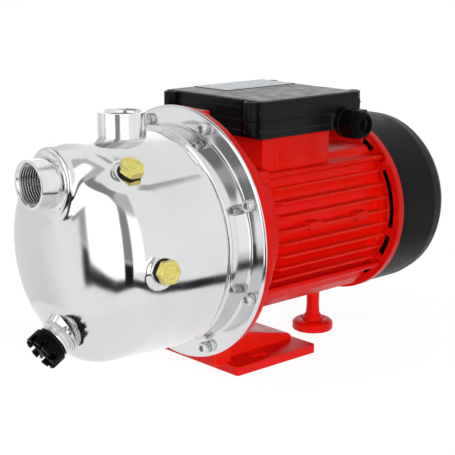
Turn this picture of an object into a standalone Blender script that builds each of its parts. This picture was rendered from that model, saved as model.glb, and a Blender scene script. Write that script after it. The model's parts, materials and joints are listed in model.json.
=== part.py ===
"""Shallow well jet pump: stainless pump end, cast bracket and finned electric motor.

Frame: the origin is the centre of the base foot's underside, +Z is up and +X runs along the
shaft from the suction port to the fan. Sizes below are millimetres; add_part() writes metres.
"""
import math

import bmesh
import bpy
import numpy as np
from mathutils import Matrix, Vector

MM = 0.001
GAP = 0.3                     # clearance between pieces that touch
SHAFT_Z = 119.0               # shaft height above the foot's underside

# Ports: female G1 sockets, G1/4 plugs, M20 cable gland
SOCKET_R, SOCKET_BORE_R, SOCKET_SPIGOT_R = 19.25, 15.1, 16.8
SUCTION_RISE = 59.0           # suction axis above the shaft
SUCTION_FACE_X, SUCTION_SEAT_X = -213.0, -194.5
DISCHARGE_X, DISCHARGE_TOP, DISCHARGE_SEAT = -124.3, 107.0, 84.4
PLUG_X, PLUG_THREAD_R, PLUG_HEX_FLATS, PLUG_HEX_H = -155.5, 6.6, 17.5, 6.5
PRIMING_TILT = math.radians(36)
PRIMING_SEAT, SIDE_SEAT = 83.5, 89.0
SEAL_T = 2.0
DRAIN_TILT = math.radians(30)
DRAIN_SEAT = Vector((-189.0, 0.0, -64.3))   # from the shaft axis, on the dome
DRAIN_NECK_R, DRAIN_CAP_R = 14.7, 15.6

# Stainless casing
CASING_T = 2.0
BARREL_R_FRONT, BARREL_R_REAR = 87.0, 89.2
DOME_START_X, NOSE_X = -148.5, -196.0
DOME_POWER_X, DOME_POWER_R = 3.3, 2.2
RIDGE_R = 26.8
SADDLE_TOP = 84.0             # flat top between the two sockets, above the shaft
SHOULDER_X, SHOULDER_LEAN = -180.0, 0.6   # front edge of the saddle, running back from the ridge
STEP_FRONT_X, STEP_R = -92.0, 90.5    # front of the bead, and the step between bead and flange
BEAD_R, BEAD_END_X = 92.2, -88.0
FLANGE_X, FLANGE_R = -68.5, 106.6
BOLT_COUNT, BOLT_CIRCLE_R, BOLT_R, BOLT_HEAD_R, BOLT_HEAD_H = 8, 98.8, 3.0, 5.0, 7.0

# Bracket with its foot
BRACKET_FRONT_X, BRACKET_T, BRACKET_R = FLANGE_X + CASING_T + GAP, 7.2, 105.5
DRUM_R, DRUM_END_X = 91.0, -38.0
COLLAR_R, COLLAR_IN_R, COLLAR_END_X, LUG_END_X = 73.0, 68.0, -20.0, -23.0
FOOT_HALF_X, FOOT_HALF_Y, FOOT_T, FOOT_CORNER_R = 47.0, 51.5, 7.6, 3.0
NECK_HALF_Y, NECK_END_X, NECK_TOP = 36.0, -40.0, 42.0
WEB_HALF_Y, WEB_END_X, WEB_END_Z, WEB_SLOPE = 25.0, 43.0, 12.8, 0.22
SLOT_X, SLOT_Y, SLOT_LENGTH, SLOT_WIDTH = -12.0, 41.0, 18.0, 9.0

# Motor
HOUSING_FRONT_X, HOUSING_END_X = COLLAR_END_X + GAP, 118.5
HOUSING_IN_R, HOUSING_OUT_R, HOUSING_RIM_R = 57.0, 60.5, 66.0
FIN_START_X, FIN_END_X, FIN_TIP_R, FIN_T = -13.0, 117.5, 69.5, 2.2
FIN_COUNT, FIN_TOP, FIN_PITCH = 8, 37.3, 11.4
PEDESTAL_X0, PEDESTAL_X1, PEDESTAL_HALF_Y, PEDESTAL_TOP = -18.0, 61.5, 50.0, 199.6
ROD_Y, ROD_RISE, ROD_R, ROD_LUG_R = 57.5, 49.5, 2.5, 7.0
SHIELD_X, SHIELD_T, SHIELD_R = 120.0, 7.0, 81.5
BEARING_FRONT_X, BEARING_REAR_X = -36.0, 108.0
REAR_FOOT_X, REAR_FOOT_R, REAR_FOOT_T, REAR_POST_R = 96.0, 19.0, 10.0, 6.0

# Fan cover
COVER_X, COVER_R, COVER_T, COVER_SHOULDER_X, COVER_END_X, COVER_END_R = 127.3, 80.0, 2.2, 174.5, 194.0, 72.0
FAN_X, FAN_R = 140.0, 66.0

# Terminal box
BOX_X0, BOX_X1, BOX_HALF_Y, BOX_Z0, BOX_SPLIT_Z, BOX_TOP = -31.0, 88.0, 62.2, 199.9, 215.0, 230.8
BOX_WALL, COLUMN_Y, COLUMN_R = 2.6, 51.0, 6.5
GLAND_X, GLAND_Z, GLAND_FLATS = 64.5, 206.0, 24.0

AXIS = Vector((0.0, 0.0, SHAFT_Z))
UP, DOWN, TO_FAN, TO_PORT = (0, 0, 1), (0, 0, -1), (1, 0, 0), (-1, 0, 0)

for stale in list(bpy.data.objects):
    bpy.data.objects.remove(stale, do_unlink=True)


# ---------------------------------------------------------------- helpers
def material(name, colour, roughness, metallic=0.0):
    """Return a Principled BSDF material, made once for each name."""
    mat = bpy.data.materials.get(name)
    if mat is None:
        mat = bpy.data.materials.new(name)
        mat.use_nodes = True
        shader = mat.node_tree.nodes["Principled BSDF"]
        shader.inputs["Base Color"].default_value = (*colour, 1.0)
        shader.inputs["Roughness"].default_value = roughness
        shader.inputs["Metallic"].default_value = metallic
    return mat


LOOKS = {
    "polished_stainless": ((0.72, 0.73, 0.74), 0.10, 1.0),
    "bolt_steel": ((0.62, 0.63, 0.65), 0.22, 1.0),
    "shaft_steel": ((0.55, 0.56, 0.58), 0.28, 1.0),
    "lamination_steel": ((0.30, 0.30, 0.32), 0.45, 1.0),
    "copper": ((0.72, 0.36, 0.18), 0.35, 1.0),
    "brass": ((0.80, 0.66, 0.28), 0.25, 1.0),
    "red_paint": ((0.58, 0.012, 0.008), 0.28, 0.0),
    "black_plastic": ((0.015, 0.015, 0.016), 0.42, 0.0),
    "engineering_plastic": ((0.05, 0.05, 0.055), 0.45, 0.0),
    "light_plastic": ((0.72, 0.72, 0.68), 0.40, 0.0),
    "black_rubber": ((0.01, 0.01, 0.01), 0.75, 0.0),
    "ceramic": ((0.80, 0.78, 0.72), 0.30, 0.0),
    "label_aluminium": ((0.68, 0.71, 0.73), 0.35, 1.0),
}


def axis_frame(origin, direction):
    """Matrix that carries local +Z onto direction, with its origin at origin."""
    turn = Vector(direction).to_track_quat("Z", "Y").to_matrix().to_4x4()
    return Matrix.Translation(Vector(origin)) @ turn


def lathe(profile, origin, direction, steps=32, closed=False, phase=0.0):
    """Turn (height, radius) points about the line through origin along direction.

    An open profile runs from axis to axis; a closed one is the outline of a ring's section.
    """
    bm = bmesh.new()
    rows = []
    for height, radius in profile:
        if radius < 1e-6:
            rows.append([bm.verts.new((0, 0, height))])
            continue
        angles = [phase + 2 * math.pi * k / steps for k in range(steps)]
        rows.append([bm.verts.new((radius * math.cos(a), radius * math.sin(a), height)) for a in angles])
    pairs = list(zip(rows, rows[1:]))
    if closed:
        pairs.append((rows[-1], rows[0]))
    for low, high in pairs:
        for k in range(steps):
            corners = [low[k % len(low)], low[(k + 1) % len(low)], high[(k + 1) % len(high)], high[k % len(high)]]
            bm.faces.new(list(dict.fromkeys(corners)))
    return finish(bm, axis_frame(origin, direction))


def prism(outline, height, frame):
    """Extrude a flat outline of (u, v) points by height along the frame's local +Z."""
    bm = bmesh.new()
    face = bm.faces.new([bm.verts.new((u, v, 0)) for u, v in outline])
    grown = bmesh.ops.extrude_face_region(bm, geom=[face])
    tops = [item for item in grown["geom"] if isinstance(item, bmesh.types.BMVert)]
    bmesh.ops.translate(bm, verts=tops, vec=(0, 0, height))
    return finish(bm, frame)


def block(low, high):
    """Box between two opposite corners."""
    bm = bmesh.new()
    bmesh.ops.create_cube(bm, size=1.0)
    size = Vector(high) - Vector(low)
    middle = (Vector(high) + Vector(low)) / 2
    return finish(bm, Matrix.Translation(middle) @ Matrix.Diagonal((*size, 1.0)))


def rod(radius, start, direction, length, steps=24, phase=0.0):
    """Plain cylinder from start along direction."""
    return lathe([(0, 0), (0, radius), (length, radius), (length, 0)], start, direction, steps, phase=phase)


def finish(bm, frame):
    bmesh.ops.transform(bm, matrix=frame, verts=bm.verts)
    bmesh.ops.recalc_face_normals(bm, faces=bm.faces)
    return bm


def joined(pieces):
    """One bmesh holding several bodies that don't touch."""
    whole = bmesh.new()
    for piece in pieces:
        spare = bpy.data.meshes.new("spare")
        piece.to_mesh(spare)
        whole.from_mesh(spare)
        bpy.data.meshes.remove(spare)
        piece.free()
    return whole


def polygon(radius, sides, phase=0.0):
    return [(radius * math.cos(phase + 2 * math.pi * k / sides),
             radius * math.sin(phase + 2 * math.pi * k / sides)) for k in range(sides)]


def hexagon(flats, phase=0.0):
    return polygon(flats / math.sqrt(3), 6, phase)


def rounded_rectangle(u0, u1, v0, v1, radius, steps=4):
    corners = [(u1 - radius, v1 - radius, 0), (u0 + radius, v1 - radius, 90),
               (u0 + radius, v0 + radius, 180), (u1 - radius, v0 + radius, 270)]
    points = []
    for u, v, start in corners:
        for k in range(steps + 1):
            a = math.radians(start + 90 * k / steps)
            points.append((u + radius * math.cos(a), v + radius * math.sin(a)))
    return points


def arc_slot(radius_in, radius_out, start, end, steps=2):
    """Outline of a curved slot between two angles in degrees."""
    sweep = [math.radians(start + (end - start) * k / steps) for k in range(steps + 1)]
    outer = [(radius_out * math.cos(a), radius_out * math.sin(a)) for a in sweep]
    inner = [(radius_in * math.cos(a), radius_in * math.sin(a)) for a in reversed(sweep)]
    return outer + inner


def vane_wheel(hub_r, tip_r, count, thickness, sweep):
    """Outline of a hub with curved vanes whose tips lag by the sweep angle."""
    points = []
    stations = [0.0, 0.5, 1.0]
    for k in range(count):
        start = 2 * math.pi * k / count
        sides = []
        for side in (-1, 1):
            line = []
            for s in stations:
                radius = hub_r + (tip_r - hub_r) * s
                angle = start - sweep * s + side * thickness / 2 / radius
                line.append((radius * math.cos(angle), radius * math.sin(angle)))
            sides.append(line)
        points += sides[0] + sides[1][::-1]
        middle = start + math.pi / count
        points.append((hub_r * math.cos(middle), hub_r * math.sin(middle)))
    return points


def link(name, bm, origin=(0, 0, 0)):
    """Store a bmesh drawn in world millimetres as an object with the given origin."""
    place = Vector(origin)
    bmesh.ops.transform(bm, matrix=Matrix.Scale(MM, 4) @ Matrix.Translation(-place), verts=bm.verts)
    mesh = bpy.data.meshes.new(name)
    bm.to_mesh(mesh)
    bm.free()
    obj = bpy.data.objects.new(name, mesh)
    obj.location = place * MM
    bpy.context.scene.collection.objects.link(obj)
    return obj


def add_part(name, bm, look, origin=(0, 0, 0), smooth=True):
    obj = link(name, bm, origin)
    obj.data.materials.append(material(look, *LOOKS[look]))
    if smooth:
        obj.data.shade_smooth()
        obj.data.set_sharp_from_angle(angle=math.radians(32))
    return obj


def combine(obj, bm, operation, tag):
    """Add or remove a helper shape with an exact Boolean."""
    tool = link(f"{obj.name}_{tag}", bm)
    tool.hide_render = True
    tool.display_type = "WIRE"
    change = obj.modifiers.new(tag, "BOOLEAN")
    change.operation = operation
    change.solver = "EXACT"
    change.object = tool
    return tool


def cut(obj, bm, tag="cut"):
    return combine(obj, bm, "DIFFERENCE", tag)


def unite(obj, bm, tag="boss"):
    return combine(obj, bm, "UNION", tag)


def on_shaft(x, y=0.0, rise=0.0):
    """World point given along the shaft and from its centre line."""
    return Vector((x, y, SHAFT_Z + rise))


def bolt_centre(number):
    angle = math.radians(22.5 + 45 * number)
    return BOLT_CIRCLE_R * math.sin(angle), BOLT_CIRCLE_R * math.cos(angle)


def rod_centres():
    return [(sy * ROD_Y, sz * ROD_RISE) for sz in (1, -1) for sy in (-1, 1)]


PRIMING_DIR = Vector((0, -math.sin(PRIMING_TILT), math.cos(PRIMING_TILT)))
SIDE_DIR = Vector((0, -1, 0))
DRAIN_DIR = Vector((-math.cos(DRAIN_TILT), 0, -math.sin(DRAIN_TILT)))
DRAIN_BASE = AXIS + DRAIN_SEAT
PRIMING_BASE = on_shaft(PLUG_X) + PRIMING_DIR * PRIMING_SEAT
SIDE_BASE = on_shaft(PLUG_X) + SIDE_DIR * SIDE_SEAT


# ---------------------------------------------------------------- casing surface
def soft_min(a, b, blend):
    h = np.clip(0.5 + 0.5 * (b - a) / blend, 0, 1)
    return b * (1 - h) + a * h - blend * h * (1 - h)


def soft_max(a, b, blend):
    return -soft_min(-a, -b, blend)


def casing_field(x, y, z):
    """Below zero inside the pressed casing; z is measured from the shaft."""
    radius = np.hypot(y, z)
    share = np.clip((x - DOME_START_X) / (STEP_FRONT_X - DOME_START_X), 0, 1)
    barrel_r = BARREL_R_FRONT + (BARREL_R_REAR - BARREL_R_FRONT) * share
    forward = np.maximum(DOME_START_X - x, 0) / (DOME_START_X - NOSE_X)
    fill = forward ** DOME_POWER_X + (radius / barrel_r) ** DOME_POWER_R
    reach = np.hypot(np.maximum(DOME_START_X - x, 0), radius)
    body = (fill ** (1 / DOME_POWER_R) - 1) * reach
    body = soft_max(body, z - 64.0, 9.0)
    flank_reach = 82.0 + 6.5 * np.clip((x + 158) / 58, 0, 1)
    flank = np.abs(y) * math.sin(PRIMING_TILT) + z * math.cos(PRIMING_TILT) - flank_reach
    saddle = soft_max(flank, radius - barrel_r, 5.0)
    saddle = soft_max(saddle, z - SADDLE_TOP, 4.0)
    edge_x = SHOULDER_X + SHOULDER_LEAN * np.maximum(np.abs(y) - RIDGE_R, 0)
    shoulder = (edge_x - x) / math.hypot(1.0, SHOULDER_LEAN)
    saddle = soft_max(saddle, shoulder, 12.0)
    ridge = np.hypot(y, z - SUCTION_RISE) - RIDGE_R
    ridge = soft_max(ridge, SUCTION_SEAT_X - x, 3.0)
    return soft_min(body, soft_min(saddle, ridge, 16.0), 9.0)


def surface_distance(centres, directions):
    """Distance from each centre, along its direction, to the casing's outer surface."""
    reach = np.arange(118.0, 20.0, -1.0)
    points = centres[:, None, :] + directions[:, None, :] * reach[None, :, None]
    inside = casing_field(points[..., 0], points[..., 1], points[..., 2]) < 0
    first = np.argmax(inside, axis=1)
    low = reach[first]
    high = low + 1.0
    for _ in range(24):
        middle = (low + high) / 2
        spot = centres + directions * middle[:, None]
        within = casing_field(spot[:, 0], spot[:, 1], spot[:, 2]) < 0
        low = np.where(within, middle, low)
        high = np.where(within, high, middle)
    return low


def casing_mesh(segments, dome_rings, barrel_rings):
    """Open outer skin of the casing, from its nose to the rim of its flange."""
    turn = np.arange(segments) * 2 * math.pi / segments
    rings = []
    for k in range(1, dome_rings + 1):
        lean = math.pi / 2 * k / dome_rings
        direct = np.stack([np.full(segments, -math.cos(lean)), math.sin(lean) * np.sin(turn),
                           math.sin(lean) * np.cos(turn)], axis=1)
        start = np.tile([DOME_START_X, 0.0, 0.0], (segments, 1))
        rings.append(start + direct * surface_distance(start, direct)[:, None])
    for k in range(1, barrel_rings + 1):
        x = DOME_START_X + (STEP_FRONT_X - 2 - DOME_START_X) * k / barrel_rings
        direct = np.stack([np.zeros(segments), np.sin(turn), np.cos(turn)], axis=1)
        start = np.tile([x, 0.0, 0.0], (segments, 1))
        rings.append(start + direct * surface_distance(start, direct)[:, None])
    steps = [(STEP_FRONT_X, BARREL_R_REAR), (STEP_FRONT_X + 1.2, BEAD_R), (BEAD_END_X - 1.2, BEAD_R),
             (BEAD_END_X, STEP_R), (FLANGE_X - 1.2, STEP_R), (FLANGE_X, STEP_R + 1.2), (FLANGE_X, FLANGE_R)]
    for x, radius in steps:
        rings.append(np.stack([np.full(segments, x), radius * np.sin(turn), radius * np.cos(turn)], axis=1))
    bm = bmesh.new()
    rows = [[bm.verts.new((NOSE_X, 0, SHAFT_Z))]]
    for ring in rings:
        rows.append([bm.verts.new((p[0], p[1], p[2] + SHAFT_Z)) for p in ring])
    for near, far in zip(rows, rows[1:]):
        for k in range(segments):
            corners = [near[k % len(near)], near[(k + 1) % len(near)], far[(k + 1) % segments], far[k]]
            bm.faces.new(list(dict.fromkeys(corners)))
    bmesh.ops.recalc_face_normals(bm, faces=bm.faces)
    nose = rows[0][0].link_faces[0]
    if nose.normal.x > 0:
        bmesh.ops.reverse_faces(bm, faces=bm.faces)
    return bm


# ---------------------------------------------------------------- pump end
def make_casing():
    casing = add_part("pump_casing", casing_mesh(32, 8, 3), "polished_stainless", AXIS)
    wall = casing.modifiers.new("wall", "SOLIDIFY")
    wall.thickness = CASING_T * MM
    wall.offset = -1.0
    ports = [(on_shaft(SUCTION_SEAT_X, rise=SUCTION_RISE), Vector(TO_PORT), 24.2, SOCKET_SPIGOT_R, 5.0, 20),
             (on_shaft(DISCHARGE_X, rise=DISCHARGE_SEAT), Vector(UP), 22.0, SOCKET_SPIGOT_R, 12.0, 20),
             (PRIMING_BASE, PRIMING_DIR, 12.5, PLUG_THREAD_R, 6.0, 12),
             (SIDE_BASE, SIDE_DIR, 12.5, PLUG_THREAD_R, 5.0, 12),
             (DRAIN_BASE, DRAIN_DIR, 15.5, DRAIN_NECK_R - 2, 9.0, 16)]
    unite(casing, joined([rod(boss_r, seat - way * depth, way, depth, steps)
                          for seat, way, boss_r, hole_r, depth, steps in ports]), "bosses")
    holes = []
    for seat, way, boss_r, hole_r, depth, steps in ports:
        step = [(-depth - 8, 0), (-depth - 8, hole_r + GAP), (0, hole_r + GAP), (0, boss_r + 0.8),
                (14, boss_r + 0.8), (14, 0)]
        holes.append(lathe(step, seat, way, steps, phase=0.1))
    for n in range(BOLT_COUNT):
        y, rise = bolt_centre(n)
        holes.append(rod(BOLT_R + 0.4, on_shaft(FLANGE_X - 4, y, rise), TO_FAN, 12, 8))
    cut(casing, joined(holes), "holes")


def socket(name, seat, direction, length, collar_r):
    """Female G1 socket with a welded collar and a spigot that enters the casing."""
    start = -3.0
    section = [(start, SOCKET_BORE_R), (start, SOCKET_SPIGOT_R), (GAP, SOCKET_SPIGOT_R), (GAP, collar_r),
               (2.8, collar_r - 0.6), (3.4, SOCKET_R), (length, SOCKET_R), (length, SOCKET_BORE_R + 1.4),
               (length - 1.4, SOCKET_BORE_R)]
    add_part(name, lathe(section, seat, direction, 24, closed=True), "polished_stainless", seat)


def make_sockets():
    socket("suction_socket", on_shaft(SUCTION_SEAT_X, rise=SUCTION_RISE), TO_PORT,
           SUCTION_SEAT_X - SUCTION_FACE_X, 24.0)
    socket("discharge_socket", on_shaft(DISCHARGE_X, rise=DISCHARGE_SEAT), UP,
           DISCHARGE_TOP - DISCHARGE_SEAT, 21.6)
    neck = [(-4.0, 10.8), (-4.0, DRAIN_NECK_R - 2), (GAP, DRAIN_NECK_R - 2), (GAP, DRAIN_NECK_R),
            (4.2, DRAIN_NECK_R), (4.8, DRAIN_NECK_R - 0.9), (5.4, DRAIN_NECK_R), (7.6, DRAIN_NECK_R - 0.4),
            (7.6, 10.8)]
    add_part("drain_socket", lathe(neck, DRAIN_BASE, DRAIN_DIR, 18, closed=True), "polished_stainless", DRAIN_BASE)


def hex_plug(name, base, direction):
    """Brass hexagon plug and the flat seal under its head."""
    ring = [(GAP, PLUG_THREAD_R + GAP), (GAP, 10.2), (GAP + SEAL_T, 10.2), (GAP + SEAL_T, PLUG_THREAD_R + GAP)]
    add_part(f"{name}_seal", lathe(ring, base, direction, 18, closed=True), "black_rubber", base)
    head_at = 2 * GAP + SEAL_T
    hollow_r, hollow_top = 3.6, head_at - 0.7
    thread = lathe([(hollow_top, 0), (hollow_top, hollow_r), (-8.0, hollow_r), (-8.0, PLUG_THREAD_R - 1),
                    (-7.0, PLUG_THREAD_R), (head_at + 1, PLUG_THREAD_R), (head_at + 1, 0)], base, direction, 14)
    head = prism(hexagon(PLUG_HEX_FLATS), PLUG_HEX_H, axis_frame(base + direction * head_at, direction))
    plug = add_part(name, head, "brass", base)
    unite(plug, thread, "thread")


def make_plugs():
    hex_plug("priming_plug", PRIMING_BASE, PRIMING_DIR)
    hex_plug("gauge_plug", SIDE_BASE, SIDE_DIR)
    seat = 7.6
    ring = [(seat + GAP, 10.9), (seat + GAP, 13.4), (seat + GAP + 1.6, 13.4), (seat + GAP + 1.6, 10.9)]
    add_part("drain_plug_seal", lathe(ring, DRAIN_BASE, DRAIN_DIR, 20, closed=True), "black_rubber", DRAIN_BASE)
    under = seat + 2 * GAP + 1.6
    shape = [(-3.0, 0), (-3.0, 9.6), (-2.2, 10.4), (under, 10.4), (under, DRAIN_CAP_R), (under + 12, DRAIN_CAP_R),
             (under + 12, 7.0), (under + 7, 6.0), (under + 7, 0)]
    plug = add_part("drain_plug", lathe(shape, DRAIN_BASE, DRAIN_DIR, 24), "black_plastic", DRAIN_BASE)
    frame = axis_frame(DRAIN_BASE + DRAIN_DIR * (under + 7.5), DRAIN_DIR)
    notches = []
    for k in range(8):
        turned = frame @ Matrix.Rotation(math.pi / 4 * k, 4, "Z")
        notches.append(prism([(8.5, -2.1), (20, -2.1), (20, 2.1), (8.5, 2.1)], 8, turned))
    cut(plug, joined(notches), "notches")


def make_ejector():
    """Venturi body with its inlet arm from the suction port, and the jet nozzle."""
    tube = [(-184, 0), (-184, 17.5), (-150, 17.5), (-138, 12.0), (-112, 14.5), (-99.5, 14.5), (-99.5, 0)]
    body = add_part("ejector_body", lathe(tube, AXIS, TO_FAN, 16), "engineering_plastic", AXIS)
    arm_x = -168.5
    unite(body, rod(14.5, on_shaft(arm_x, rise=2), UP, 71.0, 12), "arm")
    unite(body, rod(15.5, on_shaft(-190.0, rise=SUCTION_RISE), TO_FAN, 20, 12), "mouth")
    bore = [(-190, 0), (-190, 13.0), (-152, 13.0), (-140, 6.5), (-128, 6.5), (-98, 11.0), (-98, 0)]
    cut(body, lathe(bore, AXIS, TO_FAN, 16), "bore")
    cut(body, rod(11.5, on_shaft(arm_x, rise=0), UP, 68.0, 10), "arm_bore")
    cut(body, rod(12.0, on_shaft(-192.0, rise=SUCTION_RISE), TO_FAN, 21.0, 10), "mouth_bore")
    cone = [(-188, 4.0), (-188, 15.5), (-184 - GAP, 15.5), (-184 - GAP, 13.0 - GAP), (-180, 13.0 - GAP),
            (-176, 8.0), (-146, 4.0), (-146, 2.6), (-176, 4.0)]
    add_part("ejector_nozzle", lathe(cone, AXIS, TO_FAN, 16, closed=True), "brass", AXIS)


def make_hydraulics():
    """Diffuser, impeller with its nut, shaft seal, seal plate and casing O-ring."""
    shell = [(-99.2, 15.6), (-99.2, 70.0), (-96, 78.0), (-72, 78.0), (-72, 75.5), (-94, 75.5), (-96.2, 69.0),
             (-96.2, 15.6)]
    diffuser = add_part("diffuser", lathe(shell, AXIS, TO_FAN, 22, closed=True), "engineering_plastic", AXIS)
    flow = [rod(3.4, on_shaft(-99.6, 73 * math.cos(a), 73 * math.sin(a)), TO_FAN, 5, 6)
            for a in (math.pi / 3 * k for k in range(6))]
    cut(diffuser, joined(flow), "flow")

    wheel = [(-94.0, 16.5), (-94.0, 19.5), (-90.5, 21.5), (-90.5, 60), (-88.4, 60), (-88.4, 16.5)]
    impeller = add_part("impeller", lathe(wheel, AXIS, TO_FAN, 20, closed=True), "engineering_plastic", AXIS)
    frame = axis_frame(on_shaft(-89.4), TO_FAN)
    unite(impeller, prism(vane_wheel(10, 58, 5, 2.6, 1.0), 10.4, frame), "vanes")
    back = [(-80, 0), (-80, 60), (-77.6, 60), (-77.6, 13.3), (-74.5, 13.3), (-74.5, 0)]
    unite(impeller, lathe(back, AXIS, TO_FAN, 20), "back")
    cut(impeller, rod(7.0 + GAP, on_shaft(-97), TO_FAN, 25, 14, phase=0.1), "bore")
    cut(impeller, rod(15.5, on_shaft(-97), TO_FAN, 12.5, 16, phase=0.15), "eye")

    nut = prism(hexagon(17), 6.0, axis_frame(on_shaft(-90.8), TO_FAN))
    nut_part = add_part("impeller_nut", nut, "brass", AXIS)
    cut(nut_part, rod(4.4, on_shaft(-92), TO_FAN, 10, 16), "bore")

    spring_ring = [(-74.2, 7.0 + GAP), (-74.2, 12.5), (-66.5, 12.5), (-66.5, 7.0 + GAP)]
    add_part("shaft_seal_rotor", lathe(spring_ring, AXIS, TO_FAN, 16, closed=True), "black_rubber", AXIS)
    seat = [(-66.2, 8.2), (-66.2, 13.5), (-59.5, 13.5), (-59.5, 8.2)]
    add_part("shaft_seal_seat", lathe(seat, AXIS, TO_FAN, 16, closed=True), "ceramic", AXIS)
    plate = [(-68.6, 16.5), (-68.6, 85.4), (-66.6, 85.4), (-66.6, 18.5), (-60.5, 18.5), (-57.5, 18.5), (-57.5, 8.6),
             (-59.2, 8.6), (-59.2, 13.8), (-65.5, 13.8)]
    add_part("seal_plate", lathe(plate, AXIS, TO_FAN, 30, closed=True), "polished_stainless", AXIS)
    ring = [(-68.0 + 1.2 * math.cos(a), 87.0 + 1.2 * math.sin(a)) for a in (math.pi / 2 * k for k in range(4))]
    add_part("casing_o_ring", lathe(ring, AXIS, TO_FAN, 30, closed=True), "black_rubber", AXIS)


def make_flange_bolts():
    """Socket head cap screws through the casing flange into the bracket."""
    for n in range(BOLT_COUNT):
        y, rise = bolt_centre(n)
        under = on_shaft(FLANGE_X - GAP, y, rise)
        shape = [(-8.6, 0), (-8.6, BOLT_R), (0, BOLT_R), (0, BOLT_HEAD_R), (BOLT_HEAD_H, BOLT_HEAD_R),
                 (BOLT_HEAD_H, 0)]
        bolt = add_part(f"flange_bolt_{n + 1}", lathe(shape, under, TO_PORT, 10), "bolt_steel", under)
        key = axis_frame(under + Vector((-BOLT_HEAD_H + 3.0, 0, 0)), TO_PORT)
        cut(bolt, prism(hexagon(5.0), 5, key), "key")


# ---------------------------------------------------------------- bracket and feet
def make_bracket():
    front, back = BRACKET_FRONT_X, BRACKET_FRONT_X + BRACKET_T
    section = [(front, 19.0), (front, BRACKET_R), (back, BRACKET_R), (back, DRUM_R), (DRUM_END_X - 3, DRUM_R),
               (DRUM_END_X, DRUM_R - 3), (DRUM_END_X, COLLAR_R), (COLLAR_END_X, COLLAR_R), (COLLAR_END_X, COLLAR_IN_R), (-31, COLLAR_IN_R), (-34, 26.0),
               (-23.5, 24.5), (-23.5, 20.0 + GAP), (-36.3, 20.0 + GAP), (-36.3, 12.0),
               (-38.5, 12.0), (-38.5, 60.0), (-46, COLLAR_IN_R), (back, COLLAR_IN_R - 2), (back, 19.0)]
    bracket = add_part("motor_bracket", lathe(section, AXIS, TO_FAN, 36, closed=True), "red_paint", AXIS)
    for n, (y, rise) in enumerate(rod_centres()):
        unite(bracket, rod(ROD_LUG_R, on_shaft(back - 4, y, rise), TO_FAN, LUG_END_X - back + 4, 10), f"lug{n}")
    unite(bracket, block((back - 3, -22, SHAFT_Z + 69.3), (-51, 22, SHAFT_Z + 103.3)), "crown")
    holes = [block((back, -NECK_HALF_Y - GAP, 0), (DRUM_END_X + 2, NECK_HALF_Y + GAP, NECK_TOP + GAP))]
    for n in range(BOLT_COUNT):
        y, rise = bolt_centre(n)
        holes.append(rod(BOLT_R + GAP, on_shaft(front - 2, y, rise), TO_FAN, BRACKET_T + 1.5, 8))
    for y, rise in rod_centres():
        holes.append(rod(ROD_R + GAP, on_shaft(LUG_END_X - 9, y, rise), TO_FAN, 12, 8))
    cut(bracket, joined(holes), "holes")


def make_base():
    """Foot plate with its sloping web and the neck that stands against the bracket's back face."""
    front = BRACKET_FRONT_X + BRACKET_T + GAP
    outline = rounded_rectangle(-FOOT_HALF_X, FOOT_HALF_X, -FOOT_HALF_Y, FOOT_HALF_Y, FOOT_CORNER_R)
    base = add_part("base_casting", prism(outline, FOOT_T, Matrix.Identity(4)), "red_paint")
    unite(base, block((front, -NECK_HALF_Y, FOOT_T - 0.9), (NECK_END_X, NECK_HALF_Y, NECK_TOP)), "neck")
    front_z = WEB_END_Z + WEB_SLOPE * (WEB_END_X - front)
    side = [(front + 4, FOOT_T - 2), (WEB_END_X, FOOT_T - 2), (WEB_END_X, WEB_END_Z - 2),
            (WEB_END_X - 2, WEB_END_Z), (front + 4, front_z)]
    upright = Matrix.Translation((0, WEB_HALF_Y, 0)) @ Matrix.Rotation(math.pi / 2, 4, "X")
    unite(base, prism(side, 2 * WEB_HALF_Y, upright), "web")
    slots = []
    for side_y in (-SLOT_Y, SLOT_Y):
        slot = rounded_rectangle(SLOT_X - SLOT_LENGTH / 2, SLOT_X + SLOT_LENGTH / 2, side_y - SLOT_WIDTH / 2,
                                 side_y + SLOT_WIDTH / 2, SLOT_WIDTH / 2 - 0.4, 4)
        slots.append(prism(slot, FOOT_T + 4, Matrix.Translation((0, 0, -2))))
    cut(base, joined(slots), "slots")


def make_rear_foot():
    """Round pad and leg, moulded as one, under the rear of the motor."""
    top = SHAFT_Z - 72.3
    leg = [(0, 0), (0, REAR_FOOT_R - 1), (1, REAR_FOOT_R), (6.5, REAR_FOOT_R), (9, REAR_FOOT_R - 2.2),
           (REAR_FOOT_T, REAR_FOOT_R - 6), (REAR_FOOT_T, 9.5), (REAR_FOOT_T + 4, 7.2),
           (REAR_FOOT_T + 9, REAR_POST_R), (top, REAR_POST_R), (top, 0)]
    add_part("rear_foot_leg", lathe(leg, (REAR_FOOT_X, 0, 0), UP, 24), "red_paint", (REAR_FOOT_X, 0, 0))


# ---------------------------------------------------------------- motor
def fin_outline():
    """Section of the finned barrel: a circle with flat horizontal fins on both sides, and a keel."""
    fins = [FIN_TOP - FIN_PITCH * k for k in range(FIN_COUNT)]
    left = []
    for rise in fins:
        for edge in (rise + FIN_T / 2, rise - FIN_T / 2):
            root = -math.sqrt(HOUSING_OUT_R ** 2 - edge ** 2)
            tip = -math.sqrt(FIN_TIP_R ** 2 - rise ** 2)
            pair = [(root, edge), (tip, edge)]
            left += pair if edge > rise else pair[::-1]
    keel = [(-47.0, -52.0), (-41.5, -63.0), (-32.0, -72.0)]
    left += keel
    right = [(-y, z) for y, z in reversed(left)]
    crown = [(HOUSING_OUT_R * math.sin(a), HOUSING_OUT_R * math.cos(a))
             for a in (math.radians(d) for d in range(40, -41, -10))]
    return left + right + crown


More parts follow.
